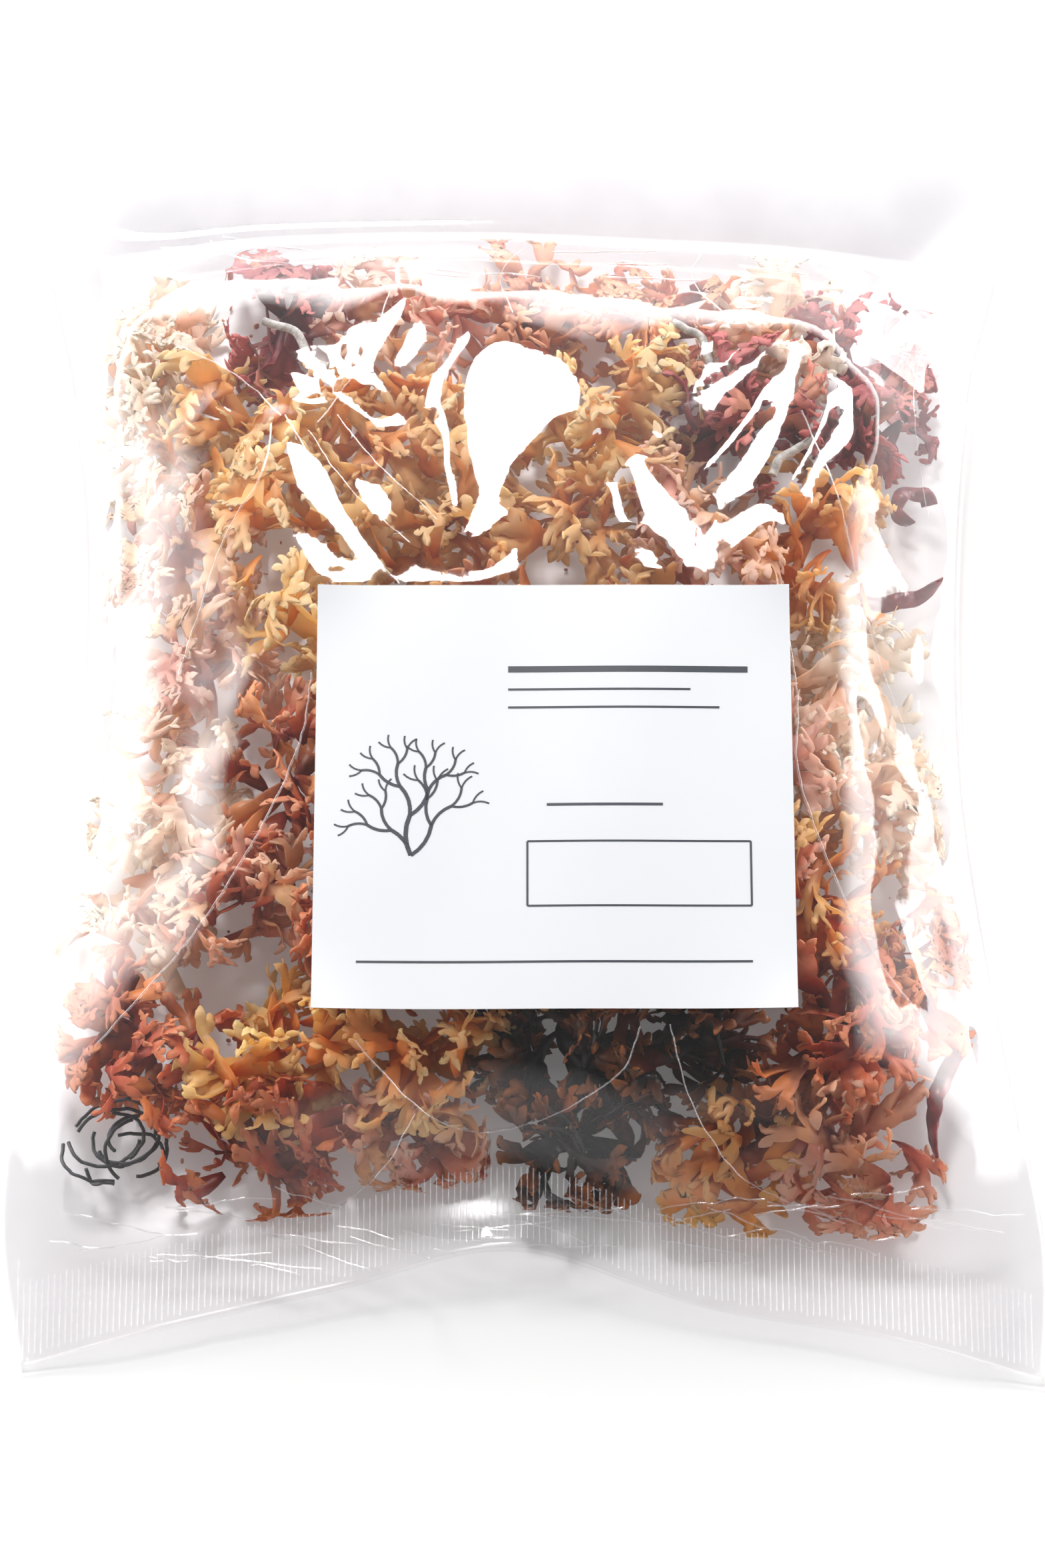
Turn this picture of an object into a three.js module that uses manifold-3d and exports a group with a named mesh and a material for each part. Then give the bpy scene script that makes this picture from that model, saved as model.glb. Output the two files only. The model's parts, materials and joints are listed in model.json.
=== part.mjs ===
// A sealed clear pouch of dried Irish moss, lying on its back.
// Millimetres, +X to the right, +Y towards the pouch's top edge, +Z up from the surface that it lies on.
// The origin is the middle of the pouch's underside.
import * as THREE from "three";
import { mergeVertices } from "three/addons/utils/BufferGeometryUtils.js";
import Module from "manifold-3d";

const wasm = await Module();
wasm.setup();

// Driving dimensions of the pouch
const HALF_LENGTH = 143;
const FILM = 0.5;
const FILM_GAP = 0.35;
const FILL_HEIGHT = 31.5;
const SEAM_LIFT = 4.5;

// Where the films meet, and over how much of the plan the fill rounds off towards there
// (u across and v along the pouch both run from -1 to 1)
const SIDE_SEAM = { at: 0.96, shoulder: 0.55 };
const TOP_SEAL = { at: 0.8, shoulder: 0.5 };
const BOTTOM_SEAL = { at: 0.88, shoulder: 0.4 };
const ROUNDNESS = 2.3;

// The underside: flat out to here, fully lifted from there on, with lower corners and a wave in the bottom edge
const RESTING = { flat: 0.7, lifted: 0.97, corner: 0.75 };
const WAVE = { u: -0.04, width: 0.22, lift: 5, from: -0.75, to: -0.95 };

// The pouch's outline: where each side edge stands along the length, and each end edge across the width
const LEFT_EDGE = [
  [-1, -103], [-0.8, -108], [-0.5, -105], [-0.1, -96], [0.3, -95], [0.6, -101], [0.83, -108], [1, -100],
];
const RIGHT_EDGE = [
  [-1, 107], [-0.8, 108], [-0.5, 101], [-0.1, 94], [0.3, 95], [0.6, 100], [0.83, 108], [1, 101],
];
const BOTTOM_EDGE = [
  [-1, -140], [-0.6, -130], [-0.3, -123], [-0.04, -116], [0.3, -128], [0.65, -134], [1, -HALF_LENGTH],
];
const TOP_EDGE = [[-1, 140], [-0.5, HALF_LENGTH], [0.4, 142], [1, 138]];

// The paper label, on the level stretch of film that it holds flat
const LABEL = { x: 6.5, y: -27.5, width: 99, height: 93, thickness: 0.4, gap: 0.3, level: 36 };
const LEVEL_MARGIN = 1;
const LEVEL_FADE = 26;

// The tufts of moss: their fronds, the crown that the fronds grow from, and the room kept round each tuft
const BLADE = 0.9;
const TUFT_REACH = 23;
const FROND_LENGTH = 23;
const FRONDS = 4;
const CROWN = 4;
const CLEARANCE = 0.35;
const FILM_CLEARANCE = 1.5;
const EDGE_MARGIN = 1.015;
const FREE = 0.7;

const COLOURS = {
  film: [0.93, 0.94, 0.96],
  label_paper: [0.95, 0.95, 0.96],
  moss_gold: [0.83, 0.6, 0.26],
  moss_amber: [0.66, 0.36, 0.13],
  moss_cream: [0.89, 0.78, 0.62],
  moss_rose: [0.78, 0.45, 0.4],
  moss_rust: [0.6, 0.22, 0.12],
  moss_maroon: [0.33, 0.08, 0.1],
  moss_dark: [0.12, 0.06, 0.06],
  weed_black: [0.05, 0.05, 0.06],
  weed_maroon: [0.24, 0.05, 0.06],
  stem_grey: [0.55, 0.53, 0.48],
};

// Where each tuft of moss lies in the pouch (x, y), its colour, and its seed where it isn't its number in the list
const TUFTS = [
  [-82, 89, "cream"], [-55, 95, "maroon", 101], [-27, 94, "rose"], [2, 97, "rust"], [30, 92, "rust"], [57, 92, "cream"],
  [-86, 62, "cream", 104], [-59, 69, "gold"], [-32, 67, "amber"], [-5, 69, "gold"], [21, 66, "gold"], [46, 65, "maroon"],
  [76, 74, "maroon"], [-75, 36, "rose"], [-47, 40, "gold"], [-18, 40, "amber"], [11, 40, "amber"], [38, 37, "rose"],
  [64, 42, "amber"], [-68, 9, "rose"], [-36, 11, "gold"], [-3, 11, "rust"], [31, 10, "amber"], [73, 9, "cream"],
  [-77, -19, "cream"], [-49, -18, "rust"], [-19, -18, "gold"], [15, -18, "maroon"], [47, -17, "rose"],
  [77, -18, "cream"], [-86, -47, "cream"], [-58, -46, "rose"], [-30, -46, "rust"], [0, -47, "amber"],
  [31, -46, "dark"], [62, -45, "amber"], [-77, -73, "rust"], [-50, -76, "gold"], [-21, -76, "gold"],
  [7, -73, "dark"], [35, -76, "dark"], [62, -73, "rust"], [86, -57, "rust"], [-48, -98, "rust", 102],
  [-20, -97, "rose"], [16, -98, "dark"], [43, -102, "amber"], [67, -99, "rose", 103],
];

// The other weeds in the fill: where each lies (x, y), how far it reaches, how it is turned, and how tightly it curls
const TANGLE = { x: -86, y: -97, reach: 17, turn: 0.4 };
const STRANDS = 3;
const STRAND = { thickness: 1.7, radius: 9, off: 5, turn: 4.4, steps: 12 };
const RIBBONS = [
  { x: 87, y: -85, reach: 15, turn: 1.3, curl: 0.5 },
  { x: 81, y: 27, reach: 12, turn: 3.3, curl: 0.6 },
  { x: 84, y: 50, reach: 9, turn: 0.8, curl: 2.2 },
];
const RIBBON = { width: 4.2, thickness: 0.9, steps: 8 };
const STEMS = [
  { x: 40, y: 80, reach: 9, turn: 2.2 },
  { x: -49, y: 83, reach: 9, turn: 2.4 },
  { x: 60, y: 56, reach: 9, turn: 0.9 },
];
const STEM = { thickness: 3, steps: 7, depth: 5 };

const UP = new THREE.Vector3(0, 0, 1);

// A short random draw that any language can repeat
function draws(seed) {
  let state = (seed * 7919 + 12345) >>> 0;
  return () => {
    state = (Math.imul(state, 1664525) + 1013904223) >>> 0;
    return state / 4294967296;
  };
}

// A smooth step from 0 at a to 1 at b
function step(a, b, x) {
  const t = Math.min(1, Math.max(0, (x - a) / (b - a)));
  return t * t * (3 - 2 * t);
}

// The height of a smooth line through a few points
function through(points, x) {
  let i = 0;
  while (i < points.length - 2 && x > points[i + 1][0]) i++;
  const at = (k) => points[Math.min(points.length - 1, Math.max(0, k))];
  const [x0, y0] = at(i);
  const [x1, y1] = at(i + 1);
  const slope = (a, b) => (b[1] - a[1]) / (b[0] - a[0] || 1);
  const m0 = i > 0 ? slope(at(i - 1), at(i + 1)) : slope(at(0), at(1));
  const m1 = i < points.length - 2 ? slope(at(i), at(i + 2)) : slope(at(i), at(i + 1));
  const w = x1 - x0;
  const t = Math.min(1, Math.max(0, (x - x0) / w));
  const t2 = t * t;
  const t3 = t2 * t;
  return (2 * t3 - 3 * t2 + 1) * y0 + (t3 - 2 * t2 + t) * w * m0 + (3 * t2 - 2 * t3) * y1 + (t3 - t2) * w * m1;
}

// The plan of the pouch: u runs from the left edge (-1) to the right (1), v from the bottom edge to the top
function plan(u, v) {
  const across = (u + 1) / 2;
  const along = (v + 1) / 2;
  return [
    through(LEFT_EDGE, v) * (1 - across) + through(RIGHT_EDGE, v) * across,
    through(BOTTOM_EDGE, u) * (1 - along) + through(TOP_EDGE, u) * along,
  ];
}

// The underside of the back film: flat where the pouch rests, lifted and waved at its edges
function underside(u, v) {
  const edge = step(RESTING.flat, RESTING.lifted, Math.max(Math.abs(u), Math.abs(v)));
  const corner = 1 - RESTING.corner * step(RESTING.corner, 1, Math.min(Math.abs(u), Math.abs(v)));
  const wave = v < 0 ? WAVE.lift * Math.exp(-(((u - WAVE.u) / WAVE.width) ** 2)) * step(WAVE.from, WAVE.to, v) : 0;
  return edge * (SEAM_LIFT * corner + wave);
}

// How far the fill swells the pouch at a point, from 0 at the seams to 1
function swell(u, v) {
  const rounded = ({ at, shoulder }, t) => {
    const inner = Math.max(0, Math.min(1, (at - Math.abs(t)) / shoulder));
    return 1 - (1 - inner) ** ROUNDNESS;
  };
  return rounded(SIDE_SEAM, u) * rounded(v > 0 ? TOP_SEAL : BOTTOM_SEAL, v);
}

// The height between the two films
function fill(u, v) {
  const [x, y] = plan(u, v);
  const s = swell(u, v);
  const lumps = 2.6 * Math.sin(x / 17 + 1.3) * Math.cos(y / 21 - 0.7) + 1.6 * Math.sin(y / 11 + x / 29);
  const loose = s * (FILL_HEIGHT + lumps);
  const out = Math.max(
    Math.abs(x - LABEL.x) - LABEL.width / 2 - LEVEL_MARGIN,
    Math.abs(y - LABEL.y) - LABEL.height / 2 - LEVEL_MARGIN,
  );
  const level = 1 - step(0, LEVEL_FADE, out);
  const flat = LABEL.level - 2 * FILM - FILM_GAP - underside(u, v);
  return s > 0 ? loose * (1 - level) + flat * level : 0;
}

const backTop = (u, v) => underside(u, v) + FILM;
const frontUnder = (u, v) => backTop(u, v) + FILM_GAP + fill(u, v);

// The grid that the films are drawn on, with its lines closer together towards the seams
const across = (t) => 0.5 * t + 0.5 * Math.sin((t * Math.PI) / 2);
const along = (t) => 0.6 * t + 0.4 * Math.sin((t * Math.PI) / 2);
const COLUMNS = 16;
const ROWS = 22;
const gridU = Array.from({ length: COLUMNS + 1 }, (_, i) => across((2 * i) / COLUMNS - 1));
const gridV = Array.from({ length: ROWS + 1 }, (_, j) => along((2 * j) / ROWS - 1));

// A closed sheet: a grid of points with the same triangles on both faces, and a rim
function sheet(columns, rows, lower, upper) {
  const positions = [];
  const triangles = [];
  const id = (i, j, face) => 2 * (j * (columns + 1) + i) + face;
  for (let j = 0; j <= rows; j++)
    for (let i = 0; i <= columns; i++) positions.push(...lower(i, j), ...upper(i, j));
  for (let j = 0; j < rows; j++)
    for (let i = 0; i < columns; i++) {
      const [a, b, c, d] = [[i, j], [i + 1, j], [i + 1, j + 1], [i, j + 1]];
      triangles.push(id(...a, 1), id(...b, 1), id(...c, 1), id(...a, 1), id(...c, 1), id(...d, 1));
      triangles.push(id(...a, 0), id(...c, 0), id(...b, 0), id(...a, 0), id(...d, 0), id(...c, 0));
    }
  const rim = [];
  for (let i = 0; i < columns; i++) rim.push([i, 0, i + 1, 0], [columns - i, rows, columns - i - 1, rows]);
  for (let j = 0; j < rows; j++) rim.push([columns, j, columns, j + 1], [0, rows - j, 0, rows - j - 1]);
  for (const [i, j, k, l] of rim)
    triangles.push(id(i, j, 0), id(k, l, 0), id(k, l, 1), id(i, j, 0), id(k, l, 1), id(i, j, 1));
  return geometry(positions, triangles);
}

function geometry(positions, triangles) {
  const made = new THREE.BufferGeometry();
  made.setAttribute("position", new THREE.Float32BufferAttribute(positions, 3));
  made.setIndex(triangles);
  return made;
}

// Solids for joining, from any closed geometry, and back
function solid(source) {
  const bare = source.clone();
  bare.deleteAttribute("normal");
  bare.deleteAttribute("uv");
  const merged = mergeVertices(bare, 1e-4);
  return new wasm.Manifold(
    new wasm.Mesh({
      numProp: 3,
      vertProperties: merged.attributes.position.array,
      triVerts: new Uint32Array(merged.index.array),
    }),
  );
}

function fromSolid(made) {
  const { vertProperties, triVerts } = made.getMesh();
  return geometry(Array.from(vertProperties), Array.from(triVerts));
}

// Pieces joined in one body: a hollow that this seals is filled, and a loose scrap is dropped
function fused(pieces) {
  const shells = pieces.map(solid).reduce((all, one) => all.add(one)).decompose();
  return fromSolid(shells.reduce((most, one) => (one.volume() > most.volume() ? one : most)));
}

// The two films, welded along their edges on the real pouch
function backFilm() {
  const lines = gridV.filter((v, j) => Math.abs(v) > 0.6 || j % 3 === 1);
  const corner = (height) => (i, j) => [...plan(gridU[i], lines[j]), height(gridU[i], lines[j])];
  return sheet(COLUMNS, lines.length - 1, corner(underside), corner(backTop));
}

function frontFilm() {
  const corner = (rise) => (i, j) => [...plan(gridU[i], gridV[j]), frontUnder(gridU[i], gridV[j]) + rise];
  return sheet(COLUMNS, ROWS, corner(0), corner(FILM));
}

function label() {
  const made = new THREE.BoxGeometry(LABEL.width, LABEL.height, LABEL.thickness);
  return made.translate(LABEL.x, LABEL.y, LABEL.level + LABEL.gap + LABEL.thickness / 2);
}

// u and v of a point of the plan, by a few corrections of a first guess
function planInverse(x, y) {
  let u = x / 100;
  let v = y / HALF_LENGTH;
  for (let n = 0; n < 8; n++) {
    const [px, py] = plan(u, v);
    u = Math.min(1, Math.max(-1, u + (x - px) / 102));
    v = Math.min(1, Math.max(-1, v + (y - py) / 135));
  }
  return [u, v];
}

// The room that one piece of the fill has, between the films: its own side of the plane between it and each
// of its neighbours
function room(own, others) {
  const centre = new THREE.Vector3(...own.at);
  const walls = others.map((other) => {
    const way = new THREE.Vector3(...other.at).sub(centre);
    const distance = way.length();
    const share = own.reach / (own.reach + other.reach);
    return { way: way.normalize(), from: distance * share - CLEARANCE / 2 };
  });
  const inside = (p) => {
    const [u, v] = planInverse(p.x * EDGE_MARGIN, p.y * EDGE_MARGIN);
    return p.z > backTop(u, v) + FILM_CLEARANCE && p.z < frontUnder(u, v) - FILM_CLEARANCE;
  };
  return (direction) => {
    let far = own.reach;
    for (const { way, from } of walls) {
      const facing = way.dot(direction);
      if (facing > 1e-6) far = Math.min(far, from / facing);
    }
    const p = new THREE.Vector3();
    let reach = 1;
    while (reach < far && inside(p.copy(direction).multiplyScalar(reach).add(centre))) reach += 0.5;
    return Math.min(far, reach - 0.5);
  };
}

// Moves a shape's points, given about its own centre, into the room round that centre. Points within the
// free share of the room stay where they are, and those further out are drawn in, more so the further out.
function settled(shape, own, others) {
  const limit = room(own, others);
  const points = shape.attributes.position;
  const p = new THREE.Vector3();
  for (let i = 0; i < points.count; i++) {
    p.fromBufferAttribute(points, i);
    const r = p.length();
    if (r > 1e-6) {
      p.divideScalar(r);
      const most = limit(p);
      const t = r / most;
      const held = t < FREE ? t : FREE + (1 - FREE) * (1 - Math.exp(-(t - FREE) / (1 - FREE)));
      p.multiplyScalar(most * held);
    }
    points.setXYZ(i, p.x + own.at[0], p.y + own.at[1], p.z + own.at[2]);
  }
  return shape;
}

// Where each frond of a tuft points, and its shape
function frondPlan(seed) {
  const draw = draws(seed);
  const turn = draw() * 2 * Math.PI;
  return Array.from({ length: FRONDS }, (_, k) => {
    const rise = 1 - (2 * (k + 0.5)) / FRONDS;
    const way = turn + k * 2.39996 + 0.5 * (draw() - 0.5);
    const flat = Math.sqrt(1 - rise * rise);
    return {
      direction: new THREE.Vector3(flat * Math.cos(way), flat * Math.sin(way), rise),
      roll: draw() * Math.PI,
      bend: (draw() < 0.5 ? -1 : 1) * (0.3 + 0.9 * draw()),
      length: FROND_LENGTH * (0.85 + 0.35 * draw()),
      spread: 0.45 + 0.3 * draw(),
    };
  });
}

// One forked frond: a stalk that widens, splits in two, and ends in two pointed lobes.
// Its outline is drawn 22 long, then bent to an arc and scaled.
const DRAWN = 22;
function frond({ direction, roll, bend, length, spread }) {
  const [s, c] = [Math.sin(spread), Math.cos(spread)];
  const lobe = (side) => {
    const [x, y] = [side * (3.6 + 5 * s), 11 + 5 * c];
    const half = 4;
    return [[x - half * c, y + side * half * s], [x + half * c, y - side * half * s], [x + side * 6 * s, y + 6 * c]];
  };
  const points = [[-0.9, 0], [0.9, 0], [-5.6, 9], [0, 11.4], [5.6, 9], ...lobe(-1), ...lobe(1)];
  const faces = [[0, 1, 3], [0, 3, 2], [1, 4, 3], [2, 3, 6], [2, 6, 5], [5, 6, 7], [3, 4, 9], [3, 9, 8], [8, 9, 10]];
  const rim = [0, 1, 4, 9, 10, 8, 3, 6, 7, 5, 2];
  const side = new THREE.Vector3(-direction.y, direction.x, 0.3).cross(direction).normalize();
  side.applyAxisAngle(direction, roll);
  const up = new THREE.Vector3().crossVectors(side, direction);
  const scale = length / DRAWN;
  const positions = [];
  for (const [x, y] of points) {
    const angle = (bend * y) / DRAWN;
    const radius = DRAWN / bend;
    const lift = radius * (1 - Math.cos(angle)) + 0.05 * x * x;
    for (const face of [-0.5, 0.5]) {
      const off = (face * BLADE) / scale;
      const p = side.clone().multiplyScalar(x);
      p.addScaledVector(direction, radius * Math.sin(angle) - off * Math.sin(angle));
      p.addScaledVector(up, lift + off * Math.cos(angle));
      positions.push(...p.multiplyScalar(scale).toArray());
    }
  }
  const triangles = faces.flatMap(([a, b, d]) => [2 * a + 1, 2 * b + 1, 2 * d + 1, 2 * a, 2 * d, 2 * b]);
  rim.forEach((a, k) => {
    const b = rim[(k + 1) % rim.length];
    triangles.push(2 * a, 2 * b, 2 * b + 1, 2 * a, 2 * b + 1, 2 * a + 1);
  });
  return geometry(positions, triangles);
}

function tuft(own, others) {
  const crown = new THREE.TetrahedronGeometry(CROWN);
  return fused([crown, ...frondPlan(own.seed).map(frond)].map((piece) => settled(piece, own, others)));
}

// A tube with a few sides along a smooth line
function tube(points, thickness, sides, steps) {
  const section = new THREE.Shape();
  for (let k = 0; k < sides; k++) {
    const angle = (2 * Math.PI * (k + 0.5)) / sides;
    section[k ? "lineTo" : "moveTo"]((thickness / 2) * Math.cos(angle), (thickness / 2) * Math.sin(angle));
  }
  section.closePath();
  return new THREE.ExtrudeGeometry(section, { extrudePath: new THREE.CatmullRomCurve3(points), steps });
}

// Wiry strands of black weed, each a loop that stays open, in one flat tangle
function tangle(own, others) {
  const draw = draws(own.seed);
  const strands = Array.from({ length: STRANDS }, (_, k) => {
    const way = own.turn + (2 * Math.PI * k) / STRANDS;
    const points = Array.from({ length: 7 }, (_, i) => {
      const angle = way + 2 + (STRAND.turn * i) / 6;
      const radius = STRAND.radius * (0.85 + 0.3 * draw());
      return new THREE.Vector3(
        STRAND.off * Math.cos(way) + radius * Math.cos(angle),
        STRAND.off * Math.sin(way) + radius * Math.sin(angle),
        0.8 * (draw() - 0.5),
      );
    });
    return tube(points, STRAND.thickness, 4, STRAND.steps);
  });
  return fused(strands.map((piece) => settled(piece, own, others)));
}

// A knobbly pale stem
function stem(own, others) {
  const draw = draws(own.seed);
  const points = Array.from({ length: 5 }, (_, i) => {
    const along = own.reach * (i / 2 - 1);
    const aside = own.reach * 0.3 * (draw() - 0.5);
    return new THREE.Vector3(along, aside, 0.12 * own.reach * (draw() - 0.5)).applyAxisAngle(UP, own.turn);
  });
  return fused([settled(tube(points, STEM.thickness, 5, STEM.steps), own, others)]);
}

// A long narrow blade that tapers to both ends, on a curl
function ribbon(own, others) {
  const at = (i, j, face) => {
    const t = (2 * j) / RIBBON.steps - 1;
    const angle = own.curl * t;
    const radius = (0.9 * own.reach) / Math.max(0.4, Math.abs(own.curl));
    const half = (RIBBON.width / 2) * (1 - 0.75 * t ** 4);
    const rise = (i - 0.5) * 2 * half;
    const tilt = 0.5 + 0.8 * t;
    const out = radius + (face - 0.5) * RIBBON.thickness;
    const lean = rise * Math.sin(tilt);
    const p = new THREE.Vector3(
      Math.sin(angle) * (out + lean),
      Math.cos(angle) * (out + lean) - radius * Math.cos(own.curl / 2),
      rise * Math.cos(tilt),
    );
    return p.applyAxisAngle(UP, own.turn).toArray();
  };
  const blade = sheet(1, RIBBON.steps, (i, j) => at(i, j, 0), (i, j) => at(i, j, 1));
  return fused([settled(blade, own, others)]);
}

const middle = (x, y) => {
  const [u, v] = planInverse(x, y);
  return (backTop(u, v) + frontUnder(u, v)) / 2;
};

const roof = (x, y) => frontUnder(...planInverse(x, y));

const fillPieces = [
  ...TUFTS.map(([x, y, colour, seed], k) => ({
    seed,
    name: `tuft_${String(k + 1).padStart(2, "0")}_${colour}`,
    slot: `moss_${colour}`,
    at: [x, y, middle(x, y)],
    reach: TUFT_REACH,
    make: tuft,
  })),
  {
    ...TANGLE,
    name: "wiry_weed",
    slot: "weed_black",
    at: [TANGLE.x, TANGLE.y, middle(TANGLE.x, TANGLE.y)],
    make: tangle,
  },
  ...RIBBONS.map((one, k) => ({
    ...one,
    name: `ribbon_weed_${k + 1}`,
    slot: "weed_maroon",
    at: [one.x, one.y, middle(one.x, one.y)],
    make: ribbon,
  })),
  ...STEMS.map((one, k) => ({
    ...one,
    name: `pale_stem_${k + 1}`,
    slot: "stem_grey",
    at: [one.x, one.y, roof(one.x, one.y) - STEM.depth],
    make: stem,
  })),
].map((piece, k) => ({ ...piece, seed: piece.seed ?? k + 1 }));

const pouch = new THREE.Group();
function place(name, shape, slot) {
  const color = new THREE.Color(...COLOURS[slot]);
  const material = new THREE.MeshStandardMaterial({ color, roughness: 0.6, metalness: 0 });
  if (slot === "film") Object.assign(material, { transparent: true, opacity: 0.25, roughness: 0.08 });
  const mesh = new THREE.Mesh(shape, material);
  mesh.name = name;
  pouch.add(mesh);
}

place("film_back", backFilm(), "film");
place("film_front", frontFilm(), "film");
place("label", label(), "label_paper");
for (const piece of fillPieces) {
  const others = fillPieces.filter((other) => other !== piece);
  place(piece.name, piece.make(piece, others), piece.slot);
}

export default pouch;
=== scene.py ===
"""A sealed clear pouch of dried Irish moss with a paper label, lying on its back on a white floor.

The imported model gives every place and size. The fronds, the creased films and the print are made here.
"""

import json
import math
import random

import bmesh
import bpy
import numpy as np
from mathutils import Matrix, Quaternion, Vector
from mathutils.bvhtree import BVHTree

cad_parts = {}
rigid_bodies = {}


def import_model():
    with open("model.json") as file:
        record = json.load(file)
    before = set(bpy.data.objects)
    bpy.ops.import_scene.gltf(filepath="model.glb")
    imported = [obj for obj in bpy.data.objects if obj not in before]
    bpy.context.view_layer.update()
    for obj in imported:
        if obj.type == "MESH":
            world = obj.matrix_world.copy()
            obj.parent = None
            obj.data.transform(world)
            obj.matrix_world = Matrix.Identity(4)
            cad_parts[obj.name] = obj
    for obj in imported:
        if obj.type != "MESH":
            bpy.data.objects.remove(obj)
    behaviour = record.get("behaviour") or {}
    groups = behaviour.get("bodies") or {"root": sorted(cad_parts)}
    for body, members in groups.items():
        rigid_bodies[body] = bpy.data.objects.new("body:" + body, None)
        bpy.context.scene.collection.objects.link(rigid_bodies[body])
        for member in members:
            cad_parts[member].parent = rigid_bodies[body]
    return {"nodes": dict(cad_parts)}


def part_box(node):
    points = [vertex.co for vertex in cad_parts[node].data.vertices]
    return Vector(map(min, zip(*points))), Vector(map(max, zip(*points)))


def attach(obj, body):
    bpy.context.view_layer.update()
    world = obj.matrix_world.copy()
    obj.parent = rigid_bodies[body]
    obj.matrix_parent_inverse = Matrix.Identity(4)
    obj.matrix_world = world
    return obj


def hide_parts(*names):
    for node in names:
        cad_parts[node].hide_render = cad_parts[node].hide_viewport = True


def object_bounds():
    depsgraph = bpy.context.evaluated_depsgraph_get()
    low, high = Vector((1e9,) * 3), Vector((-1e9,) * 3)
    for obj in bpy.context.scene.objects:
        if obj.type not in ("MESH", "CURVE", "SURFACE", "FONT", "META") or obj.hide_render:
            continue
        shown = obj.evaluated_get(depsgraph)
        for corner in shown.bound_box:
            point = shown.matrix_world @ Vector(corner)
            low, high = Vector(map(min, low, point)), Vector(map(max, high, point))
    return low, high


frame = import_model()
CAD_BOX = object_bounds()
MM = 0.001
TAU = 2 * math.pi
NODES = frame["nodes"]
ROOT = "root"


def corners(node_name):
    """The lowest and highest corner of a CAD node, as arrays."""
    low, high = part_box(node_name)
    return np.array(low), np.array(high)


# Node trees

def node(tree, kind, inputs=None, **settings):
    """One node, with each of its inputs wired to a socket or set to a value."""
    made = tree.nodes.new(kind)
    for name, value in settings.items():
        setattr(made, name, value)
    for key, value in (inputs or {}).items():
        if isinstance(value, bpy.types.NodeSocket):
            tree.links.new(value, made.inputs[key])
        else:
            made.inputs[key].default_value = value
    return made


def sum_of(tree, operation, a, b=0.0, c=0.0, clamp=False):
    """The value that a Math node gives."""
    return node(tree, "ShaderNodeMath", {0: a, 1: b, 2: c}, operation=operation, use_clamp=clamp).outputs[0]


def vector_of(tree, operation, a, b=(0.0, 0.0, 0.0)):
    """The vector that a Vector Math node gives."""
    return node(tree, "ShaderNodeVectorMath", {0: a, 1: b}, operation=operation).outputs[0]


def scaled(tree, vector, factor):
    """A vector times a number."""
    return node(tree, "ShaderNodeVectorMath", {0: vector, 3: factor}, operation="SCALE").outputs[0]


def split_of(tree, vector):
    """The x, y and z of a vector."""
    return node(tree, "ShaderNodeSeparateXYZ", {0: vector}).outputs


def mapped(tree, value, start, end, low, high):
    """A value that goes from low to high as another goes from start to end."""
    return node(tree, "ShaderNodeMapRange", {0: value, 1: start, 2: end, 3: low, 4: high}).outputs[0]


def position(tree):
    """Where each point of the geometry is."""
    return node(tree, "GeometryNodeInputPosition").outputs[0]


def moved(tree, geometry, **values):
    """Geometry with its points at a new Position, or moved by an Offset."""
    return node(tree, "GeometryNodeSetPosition", {"Geometry": geometry, **values}).outputs[0]


def ray_hit(tree, film, start, way):
    """The Raycast node for rays that go up (1) or down (-1) onto a film."""
    shape = node(tree, "GeometryNodeObjectInfo", {"Object": film}).outputs["Geometry"]
    ray = {"Target Geometry": shape, "Source Position": start, "Ray Direction": (0, 0, way)}
    return node(tree, "GeometryNodeRaycast", {**ray, "Ray Length": 1.0})


def ended(tree, gives, geometry, material):
    """Ends a Geometry Nodes tree in real geometry with its material."""
    whole = node(tree, "GeometryNodeRealizeInstances", {0: geometry}).outputs[0]
    done = node(tree, "GeometryNodeSetMaterial", {0: whole, "Material": material}).outputs[0]
    tree.links.new(done, gives[0])
    return tree


def mixed(tree, factor, a, b):
    """A colour between two colours."""
    made = node(tree, "ShaderNodeMix", {0: factor, 6: a, 7: b}, data_type="RGBA")
    return made.outputs[2]


def new_tree(name, kind, takes, gives):
    """An empty node group, with its inputs as seen inside and its outputs.

    Each input is given by its default number or colour, or by its kind.
    """
    tree = bpy.data.node_groups.new(name, kind)
    for label, value in takes.items():
        sort = value if isinstance(value, str) else "Color" if isinstance(value, tuple) else "Float"
        made = tree.interface.new_socket(name=label, in_out="INPUT", socket_type="NodeSocket" + sort)
        if sort != value:
            made.default_value = value
    for label, sort in gives.items():
        tree.interface.new_socket(name=label, in_out="OUTPUT", socket_type="NodeSocket" + sort)
    return tree, node(tree, "NodeGroupInput").outputs, node(tree, "NodeGroupOutput").inputs


def geometry_tree(name, takes):
    """An empty Geometry Nodes tree with named inputs."""
    return new_tree(name, "GeometryNodeTree", {"Geometry": "Geometry", **takes}, {"Geometry": "Geometry"})


def linked(name, data):
    """A new object in the scene."""
    made = bpy.data.objects.new(name, data)
    bpy.context.scene.collection.objects.link(made)
    return made


def finished(holder):
    """The same object with its modifiers turned into plain mesh."""
    graph = bpy.context.evaluated_depsgraph_get()
    graph.update()
    mesh = bpy.data.meshes.new_from_object(holder.evaluated_get(graph), depsgraph=graph)
    holder.modifiers.clear()
    holder.data = mesh
    mesh.name = holder.name
    return holder


def smooth(holder):
    """Shades an object smoothly all over."""
    mesh = holder.data
    mesh.polygons.foreach_set("use_smooth", [True] * len(mesh.polygons))
    return holder


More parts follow.
